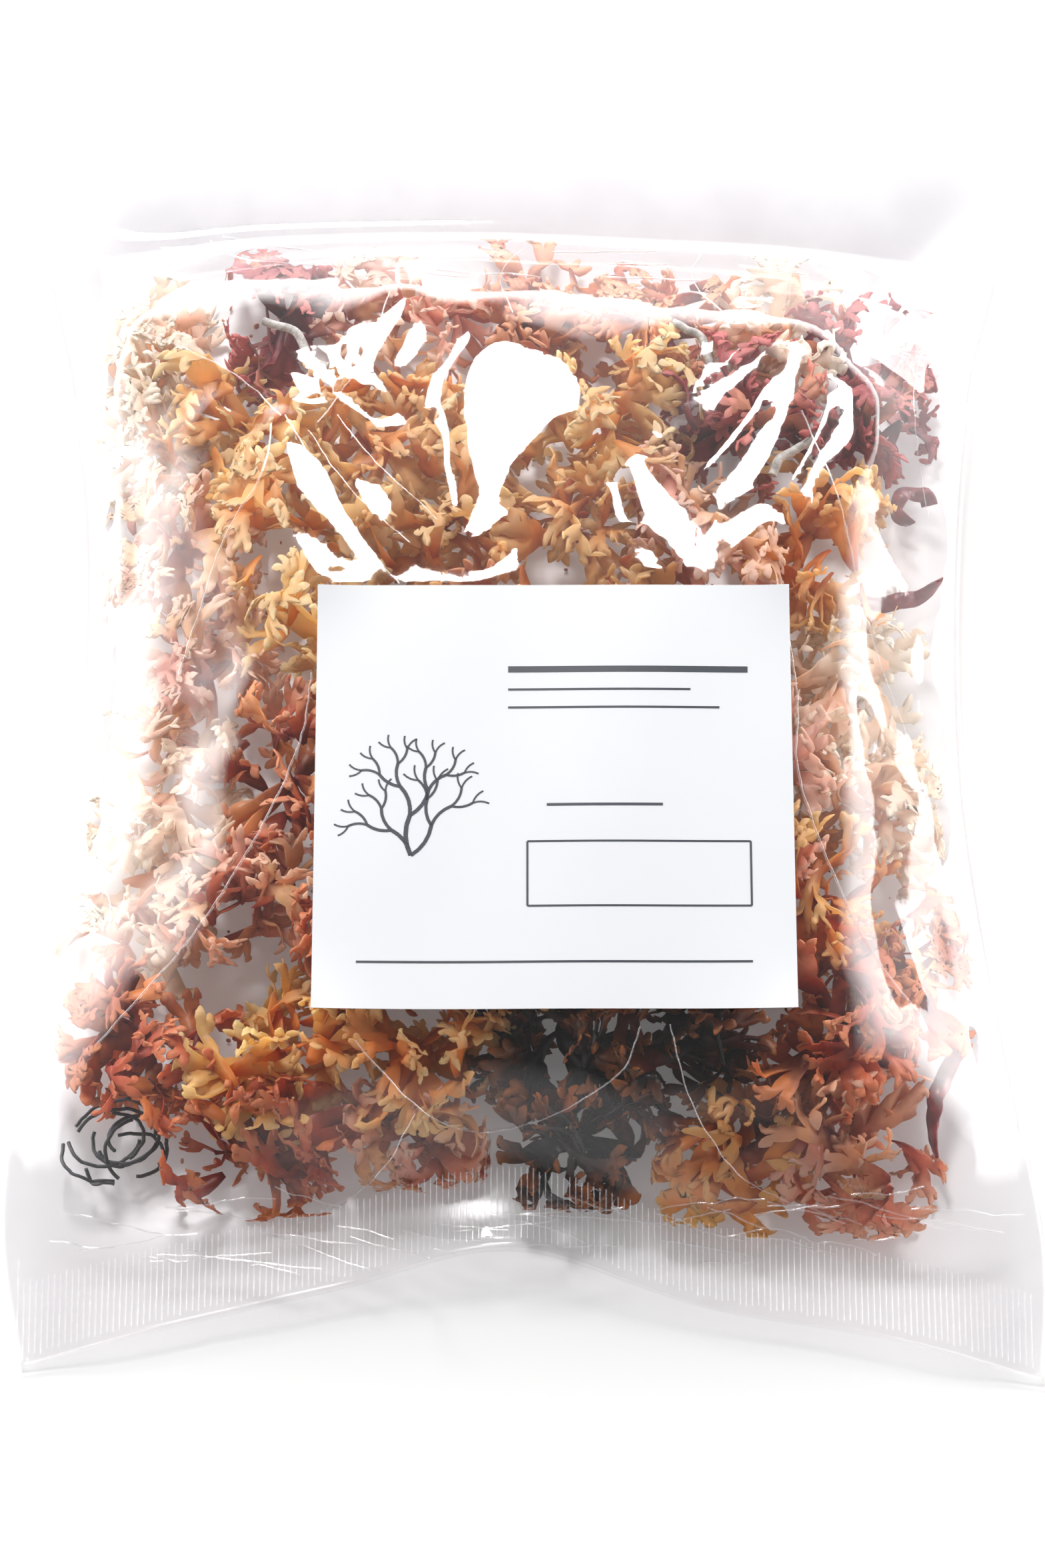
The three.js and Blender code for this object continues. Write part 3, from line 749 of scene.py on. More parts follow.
def frond_mesh(name, seed, widths):
    """A frond as it grew: a stalk that widens and forks again and again, crisped and curled as it dried."""
    draw = random.Random(seed)
    points, faces, along = [], [], []
    levels = len(widths)
    total = sum(SHORTER ** k for k in range(levels))
    gutter = draw.uniform(-0.25, 0.25)

    def row(centre, turn, width, count, share, cup):
        ids = []
        for k in range(count + 1):
            aside = k / count - 0.5
            points.append(centre + turn @ Vector((aside * width, 0, cup * width * 4 * aside * aside)))
            along.append(share)
            ids.append(len(points) - 1)
        return ids

    def branch(start, centre, turn, width, level, reached):
        length = FROND_LENGTH / total * SHORTER ** level * draw.uniform(0.8, 1.2)
        last = level == levels - 1
        end_width = widths[level] * draw.uniform(0.8, 1.2)
        bend = Matrix.Rotation(draw.uniform(-0.3, 0.3), 3, "X")
        swing = Matrix.Rotation(draw.uniform(-0.08, 0.08), 3, "Z")
        cup = gutter + draw.uniform(-0.2, 0.2)
        before = start
        for s in range(1, BRANCH_STEPS + 1):
            t = s / BRANCH_STEPS
            turn = turn @ bend @ swing
            centre = centre + turn @ Vector((0, length / BRANCH_STEPS, 0))
            bulge = math.sin(math.pi * t) * (1.0 if last else 0.6)
            spread = width + (end_width - width) * t + bulge
            forks = s == BRANCH_STEPS and not last
            share = (reached + length * t) / FROND_LENGTH
            after = row(centre, turn, spread, 4 if forks else 2, share, cup * (1 + level) / levels)
            if forks:
                points[after[2]] -= turn @ Vector((0, 0.2 * length, 0))
                faces.append((before[0], before[1], after[2], after[1], after[0]))
                faces.append((before[1], before[2], after[4], after[3], after[2]))
            else:
                faces.append((before[0], before[1], after[1], after[0]))
                faces.append((before[1], before[2], after[2], after[1]))
            before = after
        if last:
            points[before[1]] += turn @ Vector((0, 0.6 * draw.random(), 0))
            return
        for side, ids in ((-1, before[:3]), (1, before[2:])):
            yaw = Matrix.Rotation(-side * draw.uniform(0.2, 0.55), 3, "Z")
            pitch = Matrix.Rotation(draw.uniform(-0.55, 0.55), 3, "X")
            roll = Matrix.Rotation(draw.uniform(-0.7, 0.7), 3, "Y")
            middle = sum((points[i] for i in ids), Vector()) / 3
            branch(ids, middle, turn @ yaw @ pitch @ roll, end_width / 2, level + 1, reached + length)

    turn = Matrix.Identity(3)
    branch(row(Vector(), turn, STALK_WIDTH, 2, 0, 0), Vector(), turn, STALK_WIDTH, 0, 0)
    mesh = mesh_of(name, [p * MM for p in points], faces)
    mesh.attributes.new("along", "FLOAT", "POINT").data.foreach_set("value", along)
    frond = walled(name, mesh, BLADE_THICKNESS, 0)
    bpy.context.scene.collection.objects.unlink(frond)
    return frond


def frond_variants():
    """A few fronds of each size, in a collection that the tufts are made from."""
    group = bpy.data.collections.new("frond_variants")
    bpy.context.scene.collection.children.link(group)
    for k in range(VARIANTS):
        group.objects.link(frond_mesh(f"frond_{k:02d}", 40 + k, BIG if k % 2 else SMALL))
    return group


def tuft_tree():
    """Geometry Nodes: fronds set on points, ruffled, and drawn in between the films and their neighbours."""
    takes = {
        "Fronds": "Collection",
        "Front film": "Object",
        "Back film": "Object",
        "Centre": "Vector",
        "Reach": "Vector",
        "Clearance": 1.0 * MM,
        "Ruffle": 2.0 * MM,
        "Seed": 0.0,
        "Material": "Material",
    }
    tree, values, gives = geometry_tree("moss_tuft", takes)

    def stored(name, data_type):
        return node(tree, "GeometryNodeInputNamedAttribute", {"Name": name}, data_type=data_type).outputs[0]

    def film_height(film, start, way):
        x, y, _ = split_of(tree, position(tree))
        start = node(tree, "ShaderNodeCombineXYZ", {0: x, 1: y, 2: start}).outputs[0]
        return split_of(tree, ray_hit(tree, values[film], start, way).outputs["Hit Position"])[2]

    def soft(value, free):
        """Values from 0 on, held below 1: as they are up to a free share, and drawn in past it."""
        past = sum_of(tree, "DIVIDE", sum_of(tree, "SUBTRACT", value, free), 1 - free)
        curve = sum_of(tree, "SUBTRACT", 1.0, sum_of(tree, "EXPONENT", sum_of(tree, "MULTIPLY", past, -1.0)))
        held = sum_of(tree, "MULTIPLY_ADD", curve, 1 - free, free)
        choice = {0: sum_of(tree, "GREATER_THAN", value, free), 1: value, 2: held}
        return node(tree, "GeometryNodeSwitch", choice, input_type="FLOAT").outputs[0]

    # Each point has a frond, its turn and its size
    shapes = {0: values["Fronds"], "Separate Children": True, "Reset Children": True}
    turn = node(tree, "FunctionNodeEulerToRotation", {0: stored("turn", "FLOAT_VECTOR")}).outputs[0]
    copies = {
        "Points": values["Geometry"],
        "Instance": node(tree, "GeometryNodeCollectionInfo", shapes).outputs[0],
        "Pick Instance": True,
        "Instance Index": stored("variant", "INT"),
        "Rotation": turn,
        "Scale": stored("size", "FLOAT"),
    }
    copies = node(tree, "GeometryNodeInstanceOnPoints", copies).outputs[0]
    tuft = node(tree, "GeometryNodeRealizeInstances", {0: copies}).outputs[0]

    # Ruffles, stronger towards the tips
    waves = {"Vector": position(tree), "W": values["Seed"], "Scale": 110.0, "Detail": 1.0}
    field = node(tree, "ShaderNodeTexNoise", waves, noise_dimensions="4D").outputs["Color"]
    push = vector_of(tree, "SUBTRACT", field, (0.5, 0.5, 0.5))
    along = sum_of(tree, "MULTIPLY", stored("along", "FLOAT"), 2.0)
    strength = sum_of(tree, "MULTIPLY", values["Ruffle"], along)
    tuft = moved(tree, tuft, Offset=scaled(tree, push, strength))

    # What goes too far from the centre is drawn in, by a measure between a box and a ball
    off = vector_of(tree, "SUBTRACT", position(tree), values["Centre"])
    share = vector_of(tree, "ABSOLUTE", vector_of(tree, "DIVIDE", off, values["Reach"]))
    powers = [sum_of(tree, "POWER", part, 5.0) for part in split_of(tree, share)]
    total = sum_of(tree, "ADD", sum_of(tree, "ADD", powers[0], powers[1]), powers[2])
    size = sum_of(tree, "POWER", total, 1 / 5)
    drawn = sum_of(tree, "DIVIDE", soft(size, 0.7), sum_of(tree, "MAXIMUM", size, 1e-4))
    drawn = vector_of(tree, "ADD", values["Centre"], scaled(tree, off, drawn))
    tuft = moved(tree, tuft, Position=drawn)

    # And the whole tuft is pressed in between the films
    roof = sum_of(tree, "SUBTRACT", film_height("Front film", 0.2, -1), values["Clearance"])
    floor = sum_of(tree, "ADD", film_height("Back film", -0.1, 1), values["Clearance"])
    x, y, z = split_of(tree, position(tree))
    middle = sum_of(tree, "MULTIPLY", sum_of(tree, "ADD", roof, floor), 0.5)
    half = sum_of(tree, "MULTIPLY", sum_of(tree, "SUBTRACT", roof, floor), 0.5)
    half = sum_of(tree, "MAXIMUM", half, 0.2 * MM)
    rise = sum_of(tree, "DIVIDE", sum_of(tree, "SUBTRACT", z, middle), half)
    pressed = soft(sum_of(tree, "ABSOLUTE", rise), 0.8)
    pressed = sum_of(tree, "MULTIPLY", pressed, sum_of(tree, "SIGN", rise))
    height = sum_of(tree, "MULTIPLY_ADD", pressed, half, middle)
    spot = node(tree, "ShaderNodeCombineXYZ", {0: x, 1: y, 2: height}).outputs[0]
    return ended(tree, gives, moved(tree, tuft, Position=spot), values["Material"])


def draws(seed):
    """The random draw that the solids' fronds are set out by."""
    state = (seed * 7919 + 12345) & 0xFFFFFFFF
    while True:
        state = (state * 1664525 + 1013904223) & 0xFFFFFFFF
        yield state / 4294967296


# A tuft has its solid's fronds and more, spread out past the box of the solid. Some have their own seeds
SOLID_FRONDS = 4
TUFT_FRONDS = 17
TUFT_SPREAD = 1.68
GOLDEN_ANGLE = 2.39996
OWN_SEEDS = {"tuft_02_maroon": 101, "tuft_07_cream": 104, "tuft_44_rust": 102, "tuft_48_rose": 103}

# What the points of a tuft carry, in the order of the rows that frond_places gives
FROND_COLUMNS = (
    ("turn", "FLOAT_VECTOR", "vector"),
    ("variant", "INT", "value"),
    ("size", "FLOAT", "value"),
    ("shade", "FLOAT", "value"),
)


def frond_places(name):
    """Where a tuft's fronds start, how they turn and how long they are: first the solid's own, then more.

    Draws whose value isn't kept stand for choices that only the solid makes.
    """
    seed = OWN_SEEDS.get(name, int(name.split("_")[1]))
    draw = draws(seed).__next__
    low, high = corners(name)
    centre, reach = (low + high) / 2, (high - low) / 2
    first = draw() * TAU
    rows = []
    for k in range(TUFT_FRONDS):
        own = k < SOLID_FRONDS
        rise = 1 - 2 * (k + 0.5) / SOLID_FRONDS if own else 2 * draw() - 1
        way = first + k * GOLDEN_ANGLE + 0.5 * (draw() - 0.5)
        flat = math.sqrt(1 - rise * rise)
        direction = Vector((flat * math.cos(way), flat * math.sin(way), rise))
        roll = draw() * math.pi
        for _ in range(2):
            draw()
        length = (0.85 + 0.35 * draw()) * (1 if own else 0.75)
        draw()
        across = Vector((-direction.y, direction.x, 0.3)).cross(direction).normalized()
        across = Quaternion(direction, roll) @ across
        turn = Matrix((across, direction, across.cross(direction))).transposed()
        start = np.zeros(3) if own else reach * np.array([2 * draw() - 1 for _ in range(3)]) * 0.9
        rows.append((centre + start, turn.to_euler(), int(draw() * VARIANTS), length, draw()))
    return centre, reach, rows, seed


def make_tufts(front, back):
    """Every tuft of moss, each for its CAD node."""
    variants = frond_variants()
    tree = tuft_tree()
    materials = {colour: moss_material("moss_" + colour, *look) for colour, look in MOSS.items()}
    for name in sorted(n for n in NODES if n.startswith("tuft_")):
        colour = name.split("_")[-1]
        centre, reach, rows, seed = frond_places(name)
        mesh = mesh_of(name, [place for place, *_ in rows])
        for column, (label, data_type, field) in enumerate(FROND_COLUMNS, 1):
            values = [row[column] for row in rows]
            if label == "turn":
                values = [angle for euler in values for angle in euler]
            mesh.attributes.new(label, data_type, "POINT").data.foreach_set(field, values)
        shape = {
            "Fronds": variants,
            "Front film": front,
            "Back film": back,
            "Centre": tuple(centre),
            "Reach": tuple(reach * TUFT_SPREAD),
            "Clearance": 0.5 * MM,
            "Ruffle": 2.4 * MM,
            "Seed": seed * 0.37,
            "Material": materials[colour],
        }
        made = smooth(grown("moss_" + name[5:], mesh, tree, shape))
        piece(made, "moss_" + colour, name)
    for frond in list(variants.objects):
        bpy.data.objects.remove(frond)
    bpy.data.collections.remove(variants)


# The label

LABEL_THICKNESS = 0.2 * MM
LABEL_GRID = (36, 34)


def label_height(x, y):
    """The paper follows the film: almost level, in a few soft bands, with its corners a little free."""
    low, high = corners("label")
    u = 2 * (x - low[0]) / (high[0] - low[0]) - 1
    v = 2 * (y - low[1]) / (high[1] - low[1]) - 1
    bands = 0.35 * np.sin(2.6 * u + 0.5 * v + 0.6) + 0.16 * np.sin(6.5 * u - 1.2 * v)
    corner = 0.9 * (np.abs(u) * np.abs(v)) ** 6
    return low[2] + (0.55 + bands * (1 - 0.3 * v * v) + corner) * MM


def make_label():
    """The label, as one sheet of paper."""
    low, high = corners("label")
    columns, rows = LABEL_GRID
    xs = np.linspace(low[0], high[0], columns + 1)
    ys = np.linspace(low[1], high[1], rows + 1)
    points = [(x, y, label_height(x, y)) for y in ys for x in xs]
    wide = columns + 1
    starts = [j * wide + i for j in range(rows) for i in range(columns)]
    faces = [(k, k + 1, k + wide + 1, k + wide) for k in starts]
    made = walled("paper_label", mesh_of("paper_label", points, faces), LABEL_THICKNESS, -1)
    made.data.set_sharp_from_angle(angle=math.radians(40))
    piece(made, "label_paper", "label", material=paper_material())


# The print on the label: plain rules, an empty box and a sprig, in millimetres from its lower left corner.
# Each line has its width
INK_LIFT = 0.03 * MM
INK_STEP = 4
RULES = [
    ([(40, 74), (90, 74)], 1.4),
    ([(40, 69.5), (78, 69.5)], 0.5),
    ([(40, 65.5), (84, 65.5)], 0.5),
    ([(9, 10), (90, 10)], 0.5),
    ([(44, 22), (90, 22), (90, 36), (44, 36), (44, 22)], 0.45),
    ([(48, 44), (72, 44)], 0.6),
]

# Where the sprig starts, and the direction, first length and number of forks of its three fronds
SPRIG_FOOT = (20, 33)
SPRIG_FRONDS = ((1.0, 8, 3), (1.6, 9, 4), (2.2, 7, 3))


def sprig(start, way, length, level):
    """The strokes of a small forked frond: the points of its centre lines, and their widths."""
    bend = 0.22 if level % 2 else -0.22
    line = [start]
    for k in range(4):
        aim = way + bend * (k - 1.5)
        x, y = line[-1]
        line.append((x + length / 4 * math.cos(aim), y + length / 4 * math.sin(aim)))
    strokes = [(line, 0.4 + 0.14 * level)]
    if level:
        for turn in (0.5, -0.42):
            strokes += sprig(line[-1], way + turn + bend, length * 0.76, level - 1)
    return strokes


def make_print():
    """Thin ink strips that follow the paper."""
    low, _ = corners("label")
    points, faces = [], []
    fronds = [stroke for shape in SPRIG_FRONDS for stroke in sprig(SPRIG_FOOT, *shape)]
    for line, width in RULES + fronds:
        for (x0, y0), (x1, y1) in zip(line, line[1:]):
            length = math.hypot(x1 - x0, y1 - y0)
            steps = max(1, round(length / INK_STEP))
            nx, ny = -(y1 - y0) / length * width / 2, (x1 - x0) / length * width / 2
            for k in range(steps + 1):
                t = k / steps
                for side in (-1, 1):
                    x = low[0] + (x0 + (x1 - x0) * t + side * nx) * MM
                    y = low[1] + (y0 + (y1 - y0) * t + side * ny) * MM
                    points.append((x, y, label_height(x, y) + INK_LIFT))
                if k:
                    n = len(points)
                    faces.append((n - 4, n - 2, n - 1, n - 3))
    material, tree = new_material("ink")
    ink = {"Base Color": (0.03, 0.035, 0.045, 1), "Roughness": 0.35}
    surfaced(material, node(tree, "ShaderNodeBsdfPrincipled", ink))
    piece(linked("label_print", mesh_of("label_print", points, faces)), "label_paper", material=material)


# Strands, stems, ribbons and folds: all follow a line

def strand_tree():
    """Geometry Nodes: a tube or strap along each line of a mesh, which can lie on the film."""
    takes = {
        "Radius": 1.0 * MM,
        "Flatness": 1.0,
        "Step": 1.0 * MM,
        "Wander": 0.0,
        "Knobs": 0.0,
        "Taper": 0.0,
        "Twist": 0.0,
        "Film": "Object",
        "Drape": 0.0,
        "Material": "Material",
    }
    tree, values, gives = geometry_tree("strand", takes)
    line = node(tree, "GeometryNodeMeshToCurve", {0: values["Geometry"]}).outputs[0]
    steps = {"Curve": line, "Length": values["Step"]}
    line = node(tree, "GeometryNodeResampleCurve", steps, mode="LENGTH").outputs[0]
    place = position(tree)

    # The line wanders, and drops onto the film if it drapes
    waves = {"Vector": place, "Scale": 260.0, "Detail": 1.0}
    field = node(tree, "ShaderNodeTexNoise", waves).outputs["Color"]
    push = vector_of(tree, "SUBTRACT", field, (0.5, 0.5, 0.5))
    line = moved(tree, line, Offset=scaled(tree, push, values["Wander"]))
    x, y, _ = split_of(tree, place)
    above = node(tree, "ShaderNodeCombineXYZ", {0: x, 1: y, 2: 0.2}).outputs[0]
    hit = ray_hit(tree, values["Film"], above, -1)
    drop = vector_of(tree, "SUBTRACT", hit.outputs["Hit Position"], place)
    share = sum_of(tree, "MULTIPLY", values["Drape"], hit.outputs["Is Hit"])
    line = moved(tree, line, Offset=scaled(tree, drop, share))

    # It tapers to both ends, with knobs
    factor = node(tree, "GeometryNodeSplineParameter").outputs["Factor"]
    arch = sum_of(tree, "POWER", sum_of(tree, "SINE", sum_of(tree, "MULTIPLY", factor, math.pi)), 0.6)
    slim = sum_of(tree, "MULTIPLY_ADD", sum_of(tree, "SUBTRACT", arch, 1.0), values["Taper"], 1.0)
    bumps = node(tree, "ShaderNodeTexNoise", {"Vector": place, "Scale": 420.0, "Detail": 1.0}).outputs["Fac"]
    knob = sum_of(tree, "MULTIPLY_ADD", sum_of(tree, "SUBTRACT", bumps, 0.5), values["Knobs"], 1.0)
    girth = sum_of(tree, "MAXIMUM", sum_of(tree, "MULTIPLY", slim, knob), 0.06)
    line = node(tree, "GeometryNodeSetCurveRadius", {"Curve": line, "Radius": girth}).outputs[0]
    turn = sum_of(tree, "MULTIPLY", factor, values["Twist"])
    line = node(tree, "GeometryNodeSetCurveTilt", {"Curve": line, "Tilt": turn}).outputs[0]
    ring = {"Resolution": 6, "Radius": values["Radius"]}
    ring = node(tree, "GeometryNodeCurvePrimitiveCircle", ring).outputs[0]
    squeeze = node(tree, "ShaderNodeCombineXYZ", {0: values["Flatness"], 1: 1.0, 2: 1.0}).outputs[0]
    profile = node(tree, "GeometryNodeTransform", {"Geometry": ring, "Scale": squeeze}).outputs[0]
    tube = {"Curve": line, "Profile Curve": profile, "Fill Caps": True}
    return ended(tree, gives, node(tree, "GeometryNodeCurveToMesh", tube).outputs[0], values["Material"])


def strands(name, lines, tree, slot, *replaced, **values):
    """A piece made of tubes along lines. Values in millimetres are given as such."""
    values = {label: value * MM if label in ("Radius", "Step", "Wander") else value
              for label, value in values.items()}
    made = smooth(grown(name, lines_mesh(name + "_lines", lines), tree, values))
    piece(made, slot, *replaced)


def lines_mesh(name, lines):
    """A mesh of separate lines, from points in millimetres."""
    points, edges = [], []
    for line in lines:
        first = len(points)
        points += [np.array(p) * MM for p in line]
        edges += [(k, k + 1) for k in range(first, len(points) - 1)]
    return mesh_of(name, points, edges=edges)


def rounded(line, rounds=3):
    """A line of points with its corners cut round."""
    points = [np.array(p, float) for p in line]
    for _ in range(rounds):
        cut = [points[0]]
        for a, b in zip(points, points[1:]):
            cut += [a * 0.75 + b * 0.25, a * 0.25 + b * 0.75]
        points = cut + [points[-1]]
    return points


# The ribbons, as the solids have them: middle, reach, turn and curl. The stems have a turn only
RIBBONS = {
    "ribbon_weed_1": (87, -85, 15, 1.3, 0.5),
    "ribbon_weed_2": (81, 27, 12, 3.3, 0.6),
    "ribbon_weed_3": (84, 50, 9, 0.8, 2.2),
}
STEMS = {"pale_stem_1": 2.2, "pale_stem_2": 2.4, "pale_stem_3": 0.9}
STEM_LINE = ((-9, 0), (-5, 1.6), (-1, -0.4), (3, -1.8), (6, 0.4), (9, 1.4))
WIRES = 12


def turned(x, y, turn):
    """A point turned round the origin."""
    c, s = math.cos(turn), math.sin(turn)
    return c * x - s * y, s * x + c * y


def middle_of(node_name):
    """The middle of a CAD node's box, in millimetres."""
    low, high = corners(node_name)
    return (low + high) / 2 / MM


def ribbon_line(x, y, reach, turn, curl, z):
    """The middle line of a ribbon of weed."""
    radius = 0.9 * reach / max(0.4, abs(curl))
    line = []
    for k in range(17):
        angle = curl * (k / 8 - 1)
        px, py = math.sin(angle) * radius, math.cos(angle) * radius - radius * math.cos(curl / 2)
        px, py = turned(px, py, turn)
        line.append((x + px, y + py, z + 0.8 * math.sin(k)))
    return line


def wires():
    """The lines of the wiry weed: loose arcs round its middle."""
    draw = random.Random(11)
    middle = middle_of("wiry_weed")
    lines = []
    for k in range(WIRES):
        way = draw.uniform(0, TAU)
        off = draw.uniform(1, 6)
        centre = middle + np.array([off * math.cos(way), off * math.sin(way), draw.uniform(-1.5, 1.5)])
        radius, start, sweep = draw.uniform(4, 8.5), draw.uniform(0, TAU), draw.uniform(1.6, 4.2)
        line = []
        for t in np.linspace(0, 1, 16):
            x = (radius + 2.5 * t * t) * math.cos(start + sweep * t)
            y = (radius + 1.5 * t) * math.sin(start + sweep * t) * 0.85
            line.append(centre + np.array([x, y, 1.2 * math.sin(5 * t + k)]))
        lines.append(line)
    return lines


def make_weeds(tree):
    """The wiry weed, the ribbons and the stems."""
    black = rough_material("weed_black", (0.005, 0.005, 0.006), (0.025, 0.025, 0.028), 900.0, 0.35, 0.1 * MM)
    maroon = rough_material("weed_maroon", (0.1, 0.008, 0.012), (0.26, 0.03, 0.035), 300.0, 0.25, 0.15 * MM)
    pale = rough_material("stem_pale", (0.24, 0.22, 0.2), (0.6, 0.57, 0.53), 500.0, 0.5, 0.3 * MM)
    strands("black_wiry_weed", wires(), tree, "weed_black", "wiry_weed",
            Radius=0.4, Step=0.8, Wander=1.6, Knobs=0.7, Material=black)
    for name, shape in RIBBONS.items():
        line = ribbon_line(*shape, middle_of(name)[2])
        strands("dark_" + name, [line], tree, "weed_maroon", name, Radius=2.1, Flatness=0.16, Step=0.6,
                Wander=1.2, Knobs=0.5, Taper=0.85, Twist=2.4, Material=maroon)
    for name, turn in STEMS.items():
        line = [middle_of(name) + np.array([*turned(x, y, turn), 0]) for x, y in STEM_LINE]
        strands("knobbly_" + name, [rounded(line, 2)], tree, "stem_grey", name,
                Radius=1.0, Step=0.6, Wander=0.9, Knobs=0.9, Material=pale)


# Folds of the front film, as points, and how thick each stands, in millimetres. They drop onto the film
FOLD_START = 20
FOLDS = [
    ([(54, 20), (58, -6), (56, -24), (70, -58), (86, -74)], 0.32),
    ([(-54, 60), (-55, 47), (-64, 34), (-73, 4)], 0.3),
    ([(-44, 0), (-46, -18), (-62, -50), (-88, -76)], 0.3),
    ([(-88, 88), (-74, 82), (-60, 72), (-52, 62)], 0.22),
    ([(-51, 62), (-44, 48), (-36, 32), (-26, 20)], 0.22),
    ([(-29, 93), (-33, 78), (-44, 60)], 0.2),
    ([(60, 62), (68, 40), (72, 16), (86, -20), (92, -48)], 0.22),
    ([(-40, 62), (-30, 48), (-18, 36)], 0.16),
    ([(-46, 58), (-38, 44), (-24, 30)], 0.14),
    ([(24, -77), (20, -88), (-6, -96), (-22, -92), (-34, -80)], 0.26),
    ([(-22, -92), (-30, -104), (-48, -112)], 0.2),
    ([(30, -77), (34, -92), (46, -106), (70, -112)], 0.22),
    ([(90, 92), (84, 70), (88, 44)], 0.16),
    ([(-96, 60), (-88, 34), (-92, 6)], 0.16),
    ([(-98, -30), (-84, -44), (-90, -66)], 0.16),
    ([(0, 112), (-6, 100), (-2, 88)], 0.14),
    ([(40, 112), (36, 100), (44, 88)], 0.14),
    ([(-70, 116), (-60, 106), (-40, 104)], 0.14),
]


# Short wrinkles by the lower seal and by the upper one: how many, and between which heights in millimetres
CRINKLES = ((44, -120, -106), (14, 100, 116))

# The ribs of the crimp, in millimetres: from one to the next, and how long
RIB_PITCH = 1.25
RIB_LENGTH = 15


def crinkles():
    """The lines of the short slack wrinkles, which run across the pouch."""
    draw = random.Random(21)
    lines = []
    for count, lowest, highest in CRINKLES:
        for _ in range(count):
            x, y = draw.uniform(-92, 92), draw.uniform(lowest, highest)
            length = draw.uniform(8, 26)
            lean = draw.uniform(-0.35, 0.15)
            lines.append([
                (x + length * t, y + lean * length * t + draw.uniform(-0.5, 0.5), FOLD_START)
                for t in np.linspace(-0.5, 0.5, 5)
            ])
    return lines


def ribs(creases):
    """The lines of the crimp, up from the pouch's lower edge."""
    edge = np.array(creases.lower_edge)
    lines = []
    for x in np.arange(edge[0, 0] + 3, edge[-1, 0] - 3, RIB_PITCH):
        y = np.interp(x, edge[:, 0], edge[:, 1])
        lines.append([(x, y + 1.5 + RIB_LENGTH * t, FOLD_START) for t in (0, 0.33, 0.67, 1)])
    return lines


def make_folds(tree, front, creases):
    """Folds, crinkles and the crimped band of the lower seal, all laid on the front film."""
    on_film = {"Film": front, "Drape": 1.0, "Material": ridge_material()}
    sets = {}
    for line, girth in FOLDS:
        sets.setdefault(girth, []).append(rounded([(x, y, FOLD_START) for x, y in line]))
    for k, (girth, lines) in enumerate(sorted(sets.items()), 1):
        strands(f"film_fold_{k}", lines, tree, "film",
                Radius=girth, Flatness=0.7, Step=1.2, Wander=1.0, Knobs=0.8, Taper=0.9, **on_film)
    strands("film_crinkles", crinkles(), tree, "film",
            Radius=0.3, Flatness=0.6, Step=1.0, Wander=0.8, Knobs=1.2, Taper=1.0, **on_film)
    strands("crimp_ribs", ribs(creases), tree, "film",
            Radius=0.12, Flatness=1.0, Step=2.2, Knobs=2.4, Taper=0.6, **on_film)


# The corners, in millimetres, of the field that crumbs drop from, and how many there are to a square metre
CRUMB_FIELD = [(-80, -100, 60), (80, -100, 60), (80, 105, 60), (-80, 105, 60)]
CRUMB_DENSITY = 9000.0


def crumb_tree():
    """Geometry Nodes: broken bits of frond scattered over the lower film."""
    takes = {"Density": CRUMB_DENSITY, "Film": "Object", "Material": "Material"}
    tree, values, gives = geometry_tree("crumbs", takes)
    dots = {"Mesh": values["Geometry"], "Density": values["Density"], "Seed": 4}
    size = {0: (0.4, 0.3, 0.3), 1: (2.2, 1.4, 0.8), "Seed": 5}
    turn = {0: (0, 0, 0), 1: (TAU, TAU, TAU), "Seed": 6}
    bit = {"Radius": 0.5 * MM, "Subdivisions": 1}
    copies = {
        "Points": node(tree, "GeometryNodeDistributePointsOnFaces", dots).outputs[0],
        "Instance": node(tree, "GeometryNodeMeshIcoSphere", bit).outputs[0],
        "Rotation": node(tree, "FunctionNodeRandomValue", turn, data_type="FLOAT_VECTOR").outputs[0],
        "Scale": node(tree, "FunctionNodeRandomValue", size, data_type="FLOAT_VECTOR").outputs[0],
    }
    spread = node(tree, "GeometryNodeInstanceOnPoints", copies).outputs[0]
    hit = ray_hit(tree, values["Film"], position(tree), -1).outputs["Hit Position"]
    spread = moved(tree, spread, Position=vector_of(tree, "ADD", hit, (0, 0, 0.6 * MM)))
    return ended(tree, gives, spread, values["Material"])


def make_crumbs(back):
    """Crumbs on the lower film, dropped from a field above it."""
    base = mesh_of("crumb_field", [np.array(p) * MM for p in CRUMB_FIELD], [(0, 1, 2, 3)])
    material = rough_material("crumbs", (0.2, 0.03, 0.02), (0.8, 0.45, 0.2), 200.0, 0.4, 0.2 * MM)
    shape = {"Density": CRUMB_DENSITY, "Film": back, "Material": material}
    piece(grown("crumbs", base, crumb_tree(), shape), "moss_rust")


# Lights, floor and camera

FLOOR_REACH = 2
FLOOR_COLOUR = (0.76, 0.76, 0.76, 1)
FLOOR_GLOW = 0.1


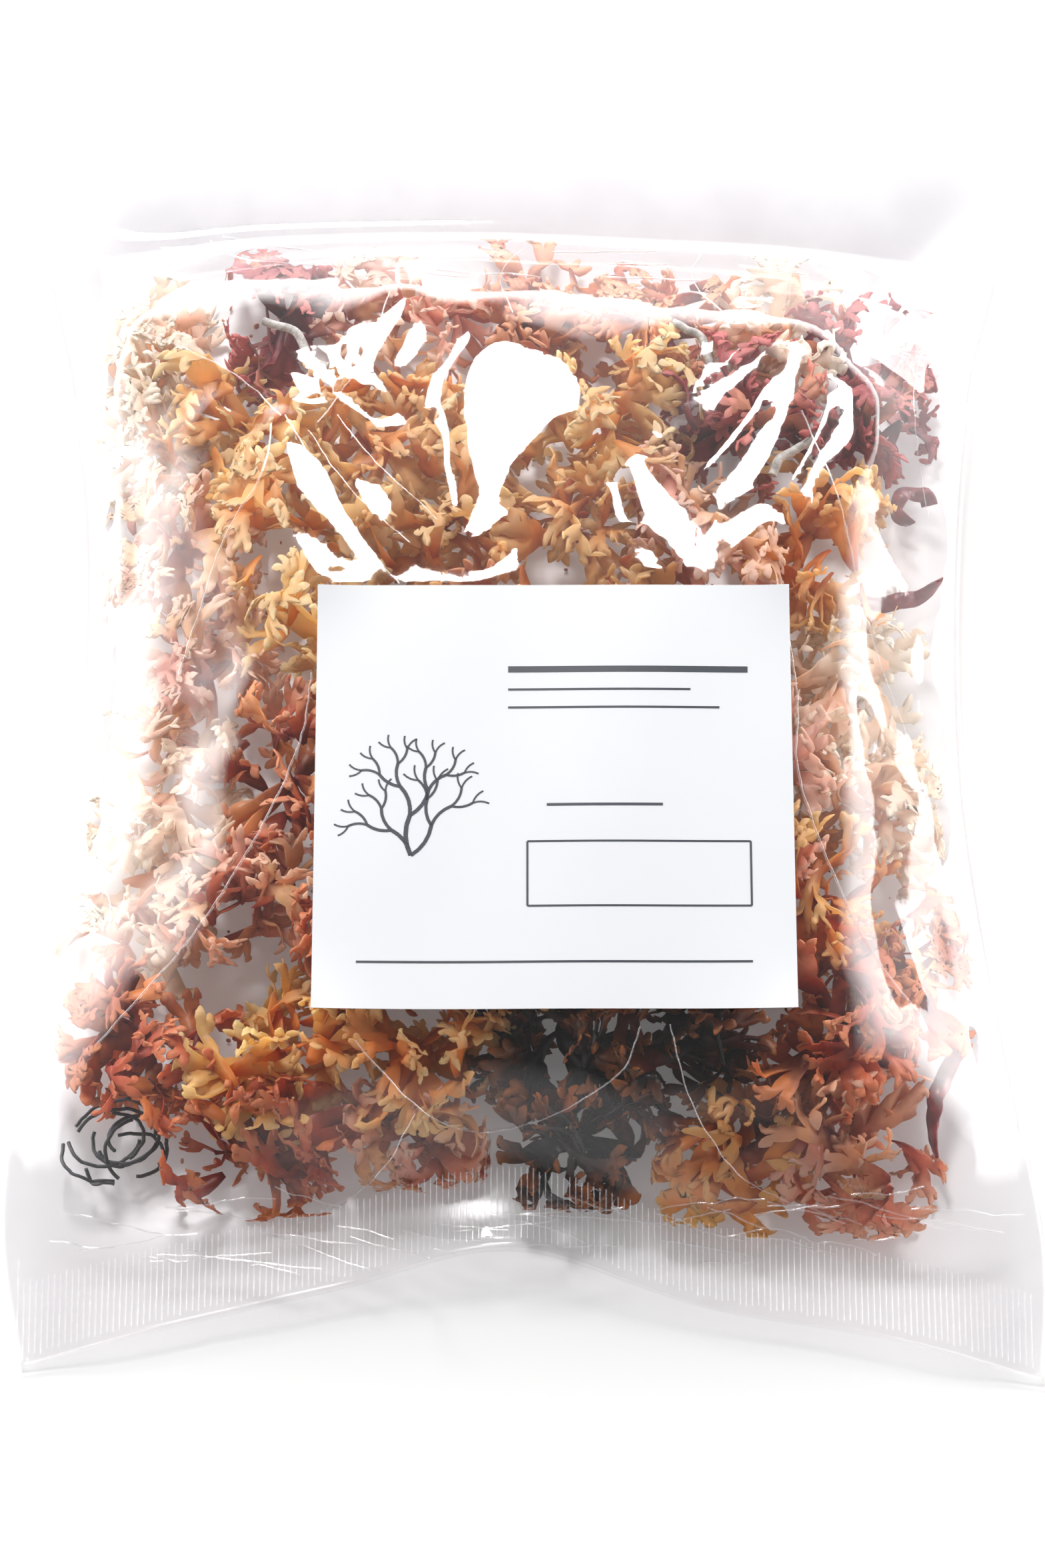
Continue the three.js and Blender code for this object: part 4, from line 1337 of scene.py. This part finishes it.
def make_stage():
    """A plain white floor, the sky and the softbox."""
    ends = [(x * FLOOR_REACH, y * FLOOR_REACH, 0) for x, y in ((-1, -1), (1, -1), (1, 1), (-1, 1))]
    floor = linked("floor", mesh_of("floor", ends, [(0, 1, 2, 3)]))
    material, tree = new_material("floor_white")
    skin = {
        "Base Color": FLOOR_COLOUR,
        "Roughness": 0.9,
        "Emission Color": (1, 1, 1, 1),
        "Emission Strength": FLOOR_GLOW,
    }
    floor.data.materials.append(surfaced(material, node(tree, "ShaderNodeBsdfPrincipled", skin)))

    world = bpy.data.worlds.new("studio")
    bpy.context.scene.world = world
    world.use_nodes = True
    tree = world.node_tree
    tree.nodes.clear()
    _, y, z = split_of(tree, node(tree, "ShaderNodeTexCoord").outputs["Generated"])
    band = mapped(tree, z, 0.22, 0.48, 1.0, 0.0)
    behind = mapped(tree, y, -0.5, 0.3, 0.1, 1.25)
    glow = sum_of(tree, "MULTIPLY_ADD", sum_of(tree, "MULTIPLY", band, behind), 1 - SKY_DARK, SKY_DARK)
    sky = node(tree, "ShaderNodeBackground", {"Color": glow, "Strength": SKY_LIGHT})
    node(tree, "ShaderNodeOutputWorld", {"Surface": sky.outputs[0]})

    lamp = bpy.data.lights.new("softbox", "AREA")
    lamp.shape = "SQUARE"
    lamp.size = LAMP_SIDE
    lamp.energy = LAMP_POWER
    holder = linked("softbox", lamp)
    holder.location = LAMP
    holder.rotation_euler = Vector(LAMP - TARGET).to_track_quat("Z", "Y").to_euler()


def make_camera():
    """The camera, with a view of plain colours and enough bounces for four skins of film and the folds."""
    data = bpy.data.cameras.new("camera")
    data.lens = 104
    data.sensor_width = 36
    camera = linked("camera", data)
    camera.location = EYE
    camera.rotation_euler = Vector(TARGET - EYE).to_track_quat("-Z", "Y").to_euler()
    scene = bpy.context.scene
    scene.camera = camera
    scene.view_settings.view_transform = "Standard"
    scene.cycles.transparent_max_bounces = 24


make_camera()
make_stage()
front_film, back_film, front_creases = make_films()
make_tufts(front_film, back_film)
make_label()
make_print()
STRAND = strand_tree()
make_weeds(STRAND)
make_folds(STRAND, front_film, front_creases)
make_crumbs(back_film)
